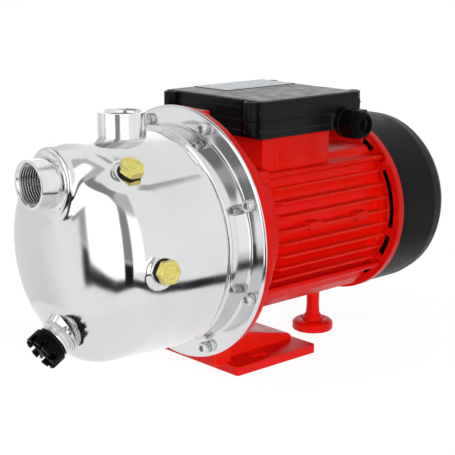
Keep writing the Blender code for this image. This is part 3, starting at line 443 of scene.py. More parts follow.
# ---------------------------------------------------------------- pressed casing
SUCTION_RISE, SUCTION_SEAT_X = 59.0, -194.5
DISCHARGE_X, DISCHARGE_SEAT, DISCHARGE_TOP = -124.3, 84.4, 107.0
RIDGE_R, SADDLE_TOP, SHOULDER_X, SHOULDER_LEAN = 26.8, 84.0, -180.0, 0.6
PLUG_X, PRIMING_SEAT, SIDE_SEAT = -155.5, 83.5, 89.0
PRIMING_TILT = radians(36)
PRIMING_DIR = Vector((0, -sin(PRIMING_TILT), cos(PRIMING_TILT)))
SIDE_DIR = Vector(TO_SIDE)
DRAIN_DIR = Vector((-cos(radians(30)), 0, -sin(radians(30))))
DRAIN_BASE = AXIS + Vector((-189.0, 0.0, -64.3))
PRIMING_BASE = AXIS + Vector((PLUG_X, 0, 0)) + PRIMING_DIR * PRIMING_SEAT
SIDE_BASE = AXIS + Vector((PLUG_X, 0, 0)) + SIDE_DIR * SIDE_SEAT
DOME_START_X, NOSE_X, STEP_X, FLANGE_X, FLANGE_R = -148.5, -196.0, -92.0, -68.5, 106.6
BOLT_CIRCLE_R = 98.8
G1_PITCH, PLUG_PITCH = 2.309, 1.337
PORT_BORE_R, PLUG_BORE_R, DRAIN_BORE_R = 15.5, 7.0, 11.0
TIE_ROD_Y, TIE_ROD_RISE = 57.5, 49.5
REAR_FOOT = (96, 0, 0)


def soft_min(a, b, blend):
    h = np.clip(0.5 + 0.5 * (b - a) / blend, 0, 1)
    return b * (1 - h) + a * h - blend * h * (1 - h)


def soft_max(a, b, blend):
    return -soft_min(-a, -b, blend)


def boss_field(x, y, z, seat, direction, radius):
    """Round pressed pad with a flat top; seat is a point on the pad, z from the shaft."""
    along = (x - seat[0]) * direction[0] + (y - seat[1]) * direction[1] + (z - seat[2]) * direction[2]
    gap2 = (x - seat[0]) ** 2 + (y - seat[1]) ** 2 + (z - seat[2]) ** 2 - along ** 2
    across = np.sqrt(np.maximum(gap2, 0)) - radius
    return soft_max(soft_max(across, along, 1.2), -along - 22.0, 1.0)


def casing_field(x, y, z):
    """Below zero inside the pressed casing; z is measured from the shaft."""
    radius = np.hypot(y, z)
    share = np.clip((x - DOME_START_X) / (STEP_X - DOME_START_X), 0, 1)
    barrel_r = 87.0 + 2.2 * share
    forward = np.maximum(DOME_START_X - x, 0) / (DOME_START_X - NOSE_X)
    fill = forward ** 3.3 + (radius / barrel_r) ** 2.2
    reach = np.hypot(np.maximum(DOME_START_X - x, 0), radius)
    body = (fill ** (1 / 2.2) - 1) * reach
    body = soft_max(body, z - 64.0, 9.0)
    flank_reach = 82.0 + 6.5 * np.clip((x + 158) / 58, 0, 1)
    flank = np.abs(y) * sin(PRIMING_TILT) + z * cos(PRIMING_TILT) - flank_reach
    saddle = soft_max(flank, radius - barrel_r, 5.0)
    saddle = soft_max(saddle, z - SADDLE_TOP, 4.0)
    edge_x = SHOULDER_X + SHOULDER_LEAN * np.maximum(np.abs(y) - RIDGE_R, 0)
    saddle = soft_max(saddle, (edge_x - x) / hypot(1.0, SHOULDER_LEAN), 12.0)
    ridge = np.hypot(y, z - SUCTION_RISE) - RIDGE_R
    ridge = soft_max(ridge, SUCTION_SEAT_X - x, 3.0)
    whole = soft_min(body, soft_min(saddle, ridge, 16.0), 9.0)
    pads = [(PRIMING_BASE - AXIS, PRIMING_DIR, 12.2), (SIDE_BASE - AXIS, SIDE_DIR, 12.2),
            (DRAIN_BASE - AXIS, DRAIN_DIR, 15.0)]
    for seat, direction, size in pads:
        whole = soft_min(whole, boss_field(x, y, z, seat, direction, size), 2.4)
    return whole


def surface_distance(centres, directions):
    """Distance from each centre, along its direction, to the casing's outer surface."""
    reach = np.arange(118.0, 20.0, -1.0)
    points = centres[:, None, :] + directions[:, None, :] * reach[None, :, None]
    inside = casing_field(points[..., 0], points[..., 1], points[..., 2]) < 0
    low = reach[np.argmax(inside, axis=1)]
    high = low + 1.0
    for _ in range(22):
        middle = (low + high) / 2
        spot = centres + directions * middle[:, None]
        within = casing_field(spot[:, 0], spot[:, 1], spot[:, 2]) < 0
        low = np.where(within, middle, low)
        high = np.where(within, high, middle)
    return low


def casing_skin(segments, dome_rings, barrel_rings):
    """Outer skin of the casing from its nose to the rolled rim of its flange."""
    turn = np.arange(segments) * 2 * pi / segments
    rings = []
    for k in range(1, dome_rings + 1):
        lean = pi / 2 * k / dome_rings
        direct = np.stack([np.full(segments, -cos(lean)), sin(lean) * np.sin(turn), sin(lean) * np.cos(turn)],
                axis=1)
        start = np.tile([DOME_START_X, 0.0, 0.0], (segments, 1))
        rings.append(start + direct * surface_distance(start, direct)[:, None])
    for k in range(1, barrel_rings + 1):
        x = DOME_START_X + (STEP_X - 2 - DOME_START_X) * k / barrel_rings
        direct = np.stack([np.zeros(segments), np.sin(turn), np.cos(turn)], axis=1)
        start = np.tile([x, 0.0, 0.0], (segments, 1))
        rings.append(start + direct * surface_distance(start, direct)[:, None])
    steps = fillet([(STEP_X - 1.6, 89.2), (STEP_X - 0.4, 89.2, 0.4), (STEP_X + 0.8, 92.0, 1.0),
            (STEP_X + 3.0, 92.0, 1.0), (STEP_X + 4.2, 90.5, 0.7), (FLANGE_X - 1.8, 90.5, 0.5),
            (FLANGE_X, 92.2, 1.8), (FLANGE_X, 99.0), (FLANGE_X, FLANGE_R - 1.8, 1.5),
            (FLANGE_X + 1.2, FLANGE_R, 1.5), (FLANGE_X + 2.0, FLANGE_R)], closed=False, steps=5)
    for x, radius in steps:
        rings.append(np.stack([np.full(segments, x), radius * np.sin(turn), radius * np.cos(turn)], axis=1))
    bm = bmesh.new()
    rows = [[bm.verts.new((NOSE_X, 0, SHAFT_Z))]]
    for ring in rings:
        rows.append([bm.verts.new((p[0], p[1], p[2] + SHAFT_Z)) for p in ring])
    skin(bm, rows, segments)
    bmesh.ops.recalc_face_normals(bm, faces=bm.faces)
    if rows[0][0].link_faces[0].normal.x > 0:
        bmesh.ops.reverse_faces(bm, faces=bm.faces)
    return bm


def open_holes(bm, holes):
    """Drop the faces of a skin that lie over a port's bore."""
    doomed = []
    for face in bm.faces:
        middle = face.calc_center_median()
        for seat, direction, radius, depth in holes:
            away = middle - seat
            along = away.dot(direction)
            if abs(along) < depth and (away - direction * along).length < radius:
                doomed.append(face)
                break
    bmesh.ops.delete(bm, geom=doomed, context="FACES")


def make_casing():
    segments = ((320, 120, 80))
    skin_bm = casing_skin(*segments)
    suction = AXIS + Vector((SUCTION_SEAT_X, 0, SUCTION_RISE))
    discharge = AXIS + Vector((DISCHARGE_X, 0, DISCHARGE_SEAT))
    open_holes(skin_bm, [
        # Seat, direction, bore radius, and how far from the seat faces still count as over the bore
        (suction, Vector(TO_PORT), PORT_BORE_R, 30), (discharge, Vector(UP), PORT_BORE_R, 12),
        (PRIMING_BASE, PRIMING_DIR, PLUG_BORE_R, 4), (SIDE_BASE, SIDE_DIR, PLUG_BORE_R, 4),
        (DRAIN_BASE, DRAIN_DIR, DRAIN_BORE_R, 6)])
    shell = piece("casing_shell", skin_bm, "mirror", stands_for=("pump_casing",), angle=50)
    wall = shell.modifiers.new("wall", "SOLIDIFY")
    wall.thickness = 1.6 * MM
    wall.offset = -1.0
    for name, base, way in (("priming", PRIMING_BASE, PRIMING_DIR), ("gauge", SIDE_BASE, SIDE_DIR)):
        ring = [(-7.0, 6.8), (-7.0, 8.6), (-0.9, 10.6, 0.3), (0.15, 10.6, 0.5), (0.15, 6.9, 0.4)]
        piece(f"{name}_port_ring", turned(ring, 0.2, base, way, 72, closed=True), "spot_face")
        piece(f"{name}_port_thread", thread_skin(6.5, 0.6, PLUG_PITCH, -7.0, -0.4, base, way, 48, 6),
                "thread")


def make_socket(name, seat, direction, length, collar_r):
    """Turned G1 socket: chamfered mouth, cut thread, thin collar and weld bead at its root."""
    mouth = turned([(length - 3.2, 15.4, 0), (length - 1.6, 15.9, 0.4), (length, 17.0, 0.3),
            (length, 19.25, 0.6), (2.6, 19.25, 0.5), (1.9, 19.9, 0.4), (1.7, collar_r - 0.5, 0.5),
            (0.9, collar_r, 0.5), (-2.0, collar_r, 0.4), (-2.0, 17.0)], 0.4, seat, direction, 128)
    piece(name, mouth, "socket", stands_for=(name,))
    piece(f"{name}_thread", thread_skin(15.1, 1.48, G1_PITCH, -3.0, length - 1.8, seat, direction, 160, 16),
            "thread", angle=80)
    spigot = [(0.4, 17.2), (-3.0, 17.2), (-3.0, 15.2)]
    piece(f"{name}_spigot", turned(spigot, 0.3, seat, direction, 96), "thread")
    bead = tube_ring(19.5, 0.65, seat + Vector(direction) * 2.0, direction, 240, 0.08, 64)
    piece(f"{name}_weld", bead, "weld", angle=80)


def make_sockets():
    make_socket("suction_socket", AXIS + Vector((SUCTION_SEAT_X, 0, SUCTION_RISE)), Vector(TO_PORT), 18.5,
            24.0)
    make_socket("discharge_socket", AXIS + Vector((DISCHARGE_X, 0, DISCHARGE_SEAT)), Vector(UP),
            DISCHARGE_TOP - DISCHARGE_SEAT, 21.6)
    piece("drain_neck", turned([(-4.0, 10.8, 0), (-4.0, 12.6, 0.3), (0.3, 12.7, 0.3), (0.3, 14.6, 0.4),
            (1.6, 14.6, 0.4), (2.1, 13.6, 0.4), (2.6, 14.6, 0.4), (4.2, 14.6, 0.4), (4.8, 13.6, 0.4),
            (5.4, 14.6, 0.4), (7.5, 14.4, 0.4), (7.5, 10.8, 0.3)], 0.3, DRAIN_BASE, DRAIN_DIR, 96,
            closed=True), "socket", stands_for=("drain_socket",))
    piece("drain_neck_weld", tube_ring(15.2, 0.8, DRAIN_BASE + DRAIN_DIR * 0.3, DRAIN_DIR, 160, 0.12, 44),
            "weld", angle=80)


# ---------------------------------------------------------------- plugs and screws
def hex_radius(flats, a):
    return flats / 2 / cos(a % (pi / 3) - pi / 6)


def hex_body(flats, z0, z1, chamfer_r, slope=0.55, base_chamfer=0.0):
    """Rings of a hexagon head from its underside to the edge of its flat top."""
    def lower(a):
        reach = hex_radius(flats, a)
        return reach, z0 + max(0.0, reach - chamfer_r) * base_chamfer

    def upper(a):
        reach = hex_radius(flats, a)
        return reach, z1 - max(0.0, reach - chamfer_r) * slope

    def rim(a):
        return min(hex_radius(flats, a), chamfer_r), z1
    return [lower, upper, rim]


def hex_plug(name, base, direction, body, seal_body):
    seat = 0.3
    piece(f"{name}_washer", turned([(seat, 6.9), (seat, 9.7), (seat + 2.0, 9.7), (seat + 2.0, 6.9)], 0.6,
            base, direction, 72, closed=True), "rubber", seal_body, (f"{name}_seal",))
    head_at, flats, height = 2.6, 17.5, 6.5
    place = axis_frame(base, direction)
    rings = [(0, head_at)] + hex_body(flats, head_at, head_at + height, 8.3, 0.55, 0.35)
    rings += [(6.6, head_at + height), (6.2, head_at + height - 0.35), (5.0, head_at + height - 0.35),
            (4.7, head_at + height - 0.15), (2.6, head_at + height - 0.1), (0, head_at + height - 0.1)]
    piece(name, polar(rings, place, 96), "brass", body, (name,), bevel=0.25, segments=2, angle=25)
    shank = [thread_skin(6.0, 0.55, PLUG_PITCH, -7.6, head_at, base, direction, 48, 6),
            lathe([(-8.0, 0), (-8.0, 5.4), (-7.3, 6.2)], base, direction, 48)]
    piece(f"{name}_shank", joined(shank), "brass", body, angle=70)


def make_drain_plug():
    seat = 7.6
    piece("drain_plug_washer", turned([(seat + 0.3, 10.9), (seat + 0.3, 13.3), (seat + 1.9, 13.3),
            (seat + 1.9, 10.9)], 0.5, DRAIN_BASE, DRAIN_DIR, 72, closed=True), "rubber", "drain_seal",
            ("drain_plug_seal",))
    under = seat + 2.2
    cap = piece("drain_plug", turned([(under + 4.5, 0), (under + 4.5, 11.6, 0.3), (under + 11.9, 11.9, 0.4),
            (under + 11.9, 15.4, 0.7), (under + 0.1, 15.5, 0.8), (under + 0.1, 10.2, 0.3), (-2.4, 10.2, 0.5),
            (-3.0, 9.4, 0.4), (-3.0, 0)], 0.4, DRAIN_BASE, DRAIN_DIR, 120), "cap", "drain_plug",
            ("drain_plug",))
    place = axis_frame(DRAIN_BASE + DRAIN_DIR * (under + 6.6), DRAIN_DIR)
    notches = []
    for k in range(8):
        spun = place @ Matrix.Rotation(pi / 4 * k, 4, "Z")
        notches.append(prism([(9.0, -2.3), (19, -2.9), (19, 2.9), (9.0, 2.3)], 9, spun))
    cut(cap, joined(notches), "notches")
    cap.data.shade_smooth()
    cap.data.set_sharp_from_angle(angle=radians(30))
    ribs = []
    for k in range(4):
        root = axis_frame(DRAIN_BASE + DRAIN_DIR * (under + 4.0), DRAIN_DIR)
        spun = root @ Matrix.Rotation(pi / 4 + pi / 2 * k, 4, "Z")
        ribs.append(prism([(0.6, -1.1), (12.4, -1.1), (12.4, 1.1), (0.6, 1.1)], 6.6, spun))
    ribs.append(turned([(under + 4, 0), (under + 4, 4.2, 0), (under + 11.0, 4.0, 0.5), (under + 11.0, 0)],
            0.4, DRAIN_BASE, DRAIN_DIR, 48))
    piece("drain_plug_ribs", joined(ribs), "cap", "drain_plug", bevel=0.3)


def make_flange_bolts():
    """Socket head cap screws with a knurled head, and a small washer face under each."""
    for n in range(8):
        angle = radians(22.5 + 45 * n)
        under = AXIS + Vector((FLANGE_X - 0.3, BOLT_CIRCLE_R * sin(angle), BOLT_CIRCLE_R * cos(angle)))
        place = axis_frame(under, TO_PORT) @ Matrix.Rotation(0.4 * n, 4, "Z")

        def knurl(z):
            return lambda a: (4.85 + 0.13 * cos(30 * a), z)

        def key(z, grow=0.0):
            return lambda a: (hex_radius(5.0 + grow, a), z)
        rings = [(0, -8.4), (2.7, -8.4), (2.95, -8.0), (2.95, 0.0), (4.6, 0.0), knurl(0.35), knurl(6.0),
                (4.75, 6.5), (4.35, 6.95), (3.7, 7.0), key(7.0, 0.7), key(6.6), key(3.2), (1.4, 2.9),
                (0, 2.4)]
        piece(f"flange_screw_{n + 1}", polar(rings, place, 120), "bolt", "pump", (f"flange_bolt_{n + 1}",),
                angle=35)


# ---------------------------------------------------------------- bracket and feet
def make_bracket():
    front, back = -66.2, -59.0
    ring = piece("bracket_ring", turned([(front, 19.0, 0.3), (front, 105.5, 0.9), (back, 105.5, 1.2),
            (back, 91.0, 2.0), (-42.5, 91.0, 3.5), (-38.0, 87.0, 2.5), (-38.0, 73.0, 1.6), (-21.5, 73.0, 1.2),
            (-20.0, 71.6, 0.8), (-20.0, 68.0, 0.4), (-31, 68.0, 1.0), (-34, 26.0, 1.0), (-23.5, 24.5, 0.5),
            (-23.5, 20.3, 0.4), (-36.3, 20.3, 0), (-36.3, 12.0, 0.3), (-38.5, 12.0, 0.3), (-38.5, 60.0, 2.0),
            (-46, 68.0, 2.0), (back, 66.0, 2.0), (back, 19.0, 0.3)], 0.6, AXIS, TO_FAN, 192, closed=True),
            "red", stands_for=("motor_bracket",))
    cut(ring, block((back, -36.3, 0), (-36, 36.3, 42.3)), "neck_pocket")
    lugs = []
    for y in (-TIE_ROD_Y, TIE_ROD_Y):
        for rise in (-TIE_ROD_RISE, TIE_ROD_RISE):
            lugs.append(turned([(back + 0.5, 0), (back + 0.5, 8.6, 0), (-38, 7.4, 3), (-23.4, 6.9, 0.9),
                    (-23.4, 2.9, 0.5), (-27.0, 2.9, 0), (-27.0, 0)], 0.5, (0, y, SHAFT_Z + rise), TO_FAN, 48))
            arm = block((back - 1, 62.0, -5.2), (-24.8, 74.0, 5.2))
            inward = Matrix.Rotation(atan2(rise, y), 4, "X")
            bmesh.ops.transform(arm, matrix=Matrix.Translation((0, 0, SHAFT_Z)) @ inward, verts=arm.verts)
            lugs.append(arm)
    piece("bracket_lugs", joined(lugs), "red", bevel=0.8)
    crown = block((back - 3, -22, SHAFT_Z + 69.3), (-51, 22, SHAFT_Z + 103.3))
    piece("bracket_crown", crown, "red", bevel=1.2)


def make_base():
    plate = prism(rounded_rectangle(-47, 47, -51.5, 51.5, 3.0, 8), 7.6, Matrix.Identity(4))
    foot = piece("foot_plate", plate, "red", stands_for=("base_casting",))
    slots = []
    for y in (-41.0, 41.0):
        outline = rounded_rectangle(-21, -3, y - 4.5, y + 4.5, 4.4, 8)
        slots.append(prism(outline, 14, Matrix.Translation((0, 0, -3))))
    cut(foot, joined(slots), "slots")
    foot.data.shade_smooth()
    soften(foot, 0.9)
    even_normals(foot)
    front = -58.7
    front_z = 12.8 + 0.22 * (43.0 - front)
    side = fillet([(front + 4, 5.0, 0), (43.0, 5.0, 0), (43.0, 10.2, 1.5), (40.4, 12.8, 2.0),
            (front + 4, front_z, 0)], 1.0)
    upright = Matrix.Translation((0, 25.0, 0)) @ Matrix.Rotation(pi / 2, 4, "X")
    piece("foot_web", prism(side, 50.0, upright), "red", bevel=1.3)
    piece("foot_neck", block((front, -36, 6.7), (-40, 36, 42.0)), "red", bevel=1.2)


def make_rear_foot():
    """Round pad with a raised lip, and the waisted leg that rises from it."""
    top = SHAFT_Z - 72.3
    post = fillet([(8.0, 0), (8.0, 9.6, 0), (10.2, 9.6, 0.8), (12.0, 9.0, 1.5), (16.0, 6.4, 4.0),
            (24.0, 5.9, 4.0), (top, 6.2, 0.5), (top, 0)], 0.8, closed=False, steps=5)
    piece("foot_post", lathe(post, REAR_FOOT, UP, 72), "red")
    pad = fillet([(0, 0), (0, 18.2, 1.0), (1.2, 19.0, 0.8), (7.0, 19.0, 2.2), (9.2, 16.6, 1.4),
            (9.9, 13.0, 0.8), (9.0, 11.4, 0.5), (8.6, 9.0, 0.3), (8.6, 0)], 0.6, closed=False, steps=4)
    piece("foot_pad", lathe(pad, REAR_FOOT, UP, 96), "red", stands_for=("rear_foot_leg",))


# ---------------------------------------------------------------- motor
FIN_RISES = [37.3 - 11.4 * k for k in range(8)]
KNOCKOUT_XS, KNOCKOUT_Z = (9.5, 38.2), 182.6


def outward(side, y, rise):
    """Matrix that turns local +Z to one side of the motor, at a height above the shaft."""
    return Matrix.Translation((0, side * y, SHAFT_Z + rise)) @ Matrix.Rotation(side * -pi / 2, 4, "X")


def ring_of_verts(bm, x, radius, steps):
    """New vertices on a circle round the shaft."""
    angles = [2 * pi * k / steps for k in range(steps)]
    return [bm.verts.new((x, radius * sin(a), SHAFT_Z + radius * cos(a))) for a in angles]


def make_housing():
    piece("housing_barrel", turned([(-19.7, 57.2, 0.3), (-19.7, 66.0, 0.8), (-15.5, 65.5, 1.5),
            (-13.5, 60.5, 1.5), (112.0, 60.5, 1.0), (113.5, 66.4, 0.6), (118.4, 66.4, 0.5),
            (118.4, 57.2, 0.3)], 0.6, AXIS, TO_FAN, 192, closed=True), "red", stands_for=("motor_housing",))
    fins = []
    for side in (-1, 1):
        for rise in FIN_RISES:
            root = sqrt(59.6 ** 2 - rise ** 2)
            tip = sqrt(69.6 ** 2 - rise ** 2)
            outline = [(-15.5, root), (117.6, root), (117.6, tip), (-9.5, tip)]
            place = Matrix.Translation((0, 0, SHAFT_Z + rise - 1.0)) @ Matrix.Scale(side, 4, (0, 1, 0))
            fins.append(prism(outline, 2.0, place))
    piece("cooling_fins", joined(fins), "red", bevel=0.55)
    pads = []
    for side in (-1, 1):
        for x in (26.6, 84.6):
            outline = rounded_rectangle(x - 8, x + 8, -3.4, 3.4, 3.0)
            pads.append(prism(outline, 7.9, outward(side, 62.0, FIN_RISES[3])))
    piece("ejector_pads", joined(pads), "red", bevel=0.6)
    keel = fillet([(-47.0, -52.0, 2), (-41.5, -63.0, 2), (-32.0, -72.0, 3), (32.0, -72.0, 3),
            (41.5, -63.0, 2), (47.0, -52.0, 2), (30.0, -45.0, 0), (-30.0, -45.0, 0)], 1.5)
    piece("housing_keel", prism(keel, 124.0, along_x(-8.0)), "red", bevel=0.8)
    tower = block((-18.0, -50.0, SHAFT_Z + 33), (61.5, 50.0, 199.5))
    piece("box_pedestal", tower, "red", bevel=1.6, segments=4)
    ledge = [(52.5, 30.0, 0), (54.6, 39.0, 2), (54.2, 43.5, 1.5), (51.6, 50.5, 1.5), (47.2, 53.2, 1.0),
            (45.2, 58.6, 1.5), (38.0, 60.8, 1.5), (28.0, 61.0, 0), (28.0, 50.0, 0), (40.0, 40.0, 0)]
    ledges = []
    for side in (-1, 1):
        ledges.append(prism([(side * y, z) for y, z in fillet(ledge, 1.0)], 133.0, along_x(-17.5)))
    piece("barrel_ledges", joined(ledges), "red", bevel=0.5)
    for n, side in enumerate((-1, 1)):
        panel = fillet([(-1.5, -10.0, 0), (-1.5, 76.0, 5.0), (57.5, 76.0, 5.0), (57.5, -10.0, 0)], 4.0,
                steps=6)
        panel = [(u, -side * v) for u, v in panel]
        piece(f"knockout_panel_{n + 1}", prism(panel, 0.8, outward(side, 49.6, 4.0)), "red", bevel=0.35)
        discs = []
        for x in KNOCKOUT_XS:
            discs.append(turned([(0.0, 0), (0.0, 9.6, 0), (1.5, 9.4, 0.35), (1.5, 8.7, 0.2), (0.1, 8.6, 0.1),
                    (0.1, 7.3, 0.1), (1.4, 7.1, 0.3), (1.4, 0)], 0.3, (x, side * 49.4, KNOCKOUT_Z),
                    (0, side, 0), 72))
        piece(f"knockouts_{n + 1}", joined(discs), "red", angle=40)
        # A thin near-black red ring on each groove floor paints the shade in the knock-out grooves
        floor = [(0.1, 7.1), (0.35, 7.1), (0.35, 8.8), (0.1, 8.8)]
        groove_shade_rings = [lathe(floor, (x, side * 49.4, KNOCKOUT_Z), (0, side, 0), 72, closed=True)
                   for x in KNOCKOUT_XS]
        piece(f"knockout_groove_shade_{n + 1}", joined(groove_shade_rings), "red_painted_shade", angle=40)


def make_end_shield():
    radii = [53.6, 57.0, 62.0, 66.0, 68.2, 74.9, 76.4, 79.0, 81.4]
    gaps = [(29, 41), (58, 101), (107, 124), (136, 147)]
    steps = 360

    def vent(degrees):
        turn = degrees % 360
        turn = min(turn, 360 - turn)
        return any(a <= turn < b for a, b in gaps)

    bm = bmesh.new()
    rows = [ring_of_verts(bm, 120.1, radius, steps) for radius in radii]
    for n, (low, high) in enumerate(zip(rows, rows[1:])):
        for k in range(steps):
            if n == 4 and vent(k + 0.5):
                continue
            bm.faces.new([low[k], high[k], high[(k + 1) % steps], low[(k + 1) % steps]])
    bmesh.ops.recalc_face_normals(bm, faces=bm.faces)
    if next(iter(bm.faces)).normal.x > 0:
        bmesh.ops.reverse_faces(bm, faces=bm.faces)
    grown = bmesh.ops.extrude_face_region(bm, geom=list(bm.faces))
    moved = [v for v in grown["geom"] if isinstance(v, bmesh.types.BMVert)]
    bmesh.ops.translate(bm, verts=moved, vec=(2.6, 0, 0))
    bmesh.ops.recalc_face_normals(bm, faces=bm.faces)
    shield = piece("end_shield", bm, "red", stands_for=("rear_end_shield",))
    drill = [(-3, 0), (-3, 4.4), (12, 4.4), (12, 0)]
    holes = [lathe(drill, (120, y, SHAFT_Z + rise), TO_FAN, 48)
             for y in (-TIE_ROD_Y, TIE_ROD_Y) for rise in (-TIE_ROD_RISE, TIE_ROD_RISE)]
    cut(shield, joined(holes), "rod_holes")
    shield.data.shade_smooth()
    soften(shield, 0.6, angle=40)
    even_normals(shield)
    parts = [turned([(107.6, 17.8, 0.2), (107.6, 23.5, 0.8), (119.0, 23.5, 1.5), (121.0, 29.0, 1.5),
            (121.0, 30.0, 0.2), (126.0, 30.0, 0.4), (126.0, 9.6, 0.3), (119.6, 9.6, 0.2), (119.6, 17.8, 0.2)],
            0.4, AXIS, TO_FAN, 96, closed=True)]
    spigot = [(114.5, 53.5, 0.3), (114.5, 56.7, 0.4), (120.3, 56.7, 0), (120.3, 53.5, 0)]
    lip = [(122.0, 54.0, 0), (126.8, 54.0, 0.4), (126.8, 60.0, 0.4), (122.0, 60.0, 0)]
    parts += [turned(ring, 0.3, AXIS, TO_FAN, 144, closed=True) for ring in (spigot, lip)]
    parts.append(turned([(122.0, 76.8, 0), (122.0, 81.4, 0), (126.9, 81.4, 0.6), (126.9, 77.4, 0.3),
            (131.5, 77.2, 0.4), (131.5, 75.6, 0.4), (124.5, 75.6, 0.3)], 0.3, AXIS, TO_FAN, 192, closed=True))
    for k in range(6):
        spoke = block((120.6, 26, -3.2), (126.2, 55, 3.2))
        swing = Matrix.Translation(AXIS) @ Matrix.Rotation(pi / 3 * k + 0.1, 4, "X")
        bmesh.ops.transform(spoke, matrix=swing, verts=spoke.verts)
        parts.append(spoke)
    piece("end_shield_hub", joined(parts), "red")
    baffle = [(128.6, 60.5), (129.8, 60.5), (129.8, 75.3), (128.6, 75.3)]
    piece("air_baffle", turned(baffle, 0.3, AXIS, TO_FAN, 96, closed=True), "rubber")


def make_tie_rods():
    number = 1
    for rise in (TIE_ROD_RISE, -TIE_ROD_RISE):
        for y in (-TIE_ROD_Y, TIE_ROD_Y):
            piece(f"long_screw_{number}", turned([(-31.0, 0), (-31.0, 2.5, 0.3), (122.6, 2.5, 0),
                    (122.6, 3.9, 0.4), (126.6, 3.9, 0.6), (126.6, 0)], 0.3, (0, y, SHAFT_Z + rise), TO_FAN,
                    48), "red", stands_for=(f"tie_rod_{number}",))
            number += 1


COWL_END_X = 193.9


def make_fan_cover():
    outer = fillet([(127.4, 80.0), (129.0, 80.0), (150.0, 80.0), (172.0, 80.0, 6), (183.5, 77.8, 10),
            (191.5, 72.4, 6), (COWL_END_X, 66.0, 3)], 4.0, closed=False, steps=8)
    flat = [(COWL_END_X, r) for r in (62.0, 58.0, 54.0, 45.0, 42.0, 33.0, 30.0, 20.0, 16.0, 8.0)]
    profile = outer + flat
    steps = 144
    bm = bmesh.new()
    rows = [ring_of_verts(bm, x, radius, steps) for x, radius in profile]
    centre = bm.verts.new((COWL_END_X, 0, SHAFT_Z))
    open_bands = {(58.0, 54.0), (54.0, 45.0), (42.0, 33.0), (30.0, 20.0)}
    for (low, row), (high, nxt) in zip(zip(profile, rows), list(zip(profile, rows))[1:]):
        band = (low[1], high[1])
        for k in range(steps):
            if low[0] == high[0] == COWL_END_X and band in open_bands and (k + 4) % 12 < 8:
                continue
            bm.faces.new([row[k], row[(k + 1) % steps], nxt[(k + 1) % steps], nxt[k]])
    for k in range(steps):
        bm.faces.new([rows[-1][k], rows[-1][(k + 1) % steps], centre])
    bmesh.ops.recalc_face_normals(bm, faces=bm.faces)
    sample = min(bm.faces, key=lambda f: (f.calc_center_median() - Vector((COWL_END_X, 0, SHAFT_Z))).length)
    if sample.normal.x < 0:
        bmesh.ops.reverse_faces(bm, faces=bm.faces)
    cover = piece("fan_cowl", bm, "cover", stands_for=("fan_cover",), angle=50)
    wall = cover.modifiers.new("wall", "SOLIDIFY")
    wall.thickness = 2.0 * MM
    wall.offset = -1.0
    soften(cover, 0.4, 2, 50)


# ---------------------------------------------------------------- terminal box
BOX_X0, BOX_X1, BOX_HALF_Y, BOX_Z0, BOX_SPLIT_Z, BOX_TOP = -31.0, 88.0, 62.2, 199.9, 215.0, 230.8
COLUMN_OUT, COLUMN_Y, COLUMN_R = 1.0, 51.0, 6.3
COLUMNS = [(x, side * COLUMN_Y) for x in (BOX_X0 - COLUMN_OUT, BOX_X1 + COLUMN_OUT) for side in (-1, 1)]


def box_tier(z0, z1, inset):
    """A slab of the terminal box's outline, drawn in by inset."""
    outline = rounded_rectangle(BOX_X0 + inset, BOX_X1 - inset, inset - BOX_HALF_Y, BOX_HALF_Y - inset, 3.0)
    return prism(outline, z1 - z0, Matrix.Translation((0, 0, z0)))


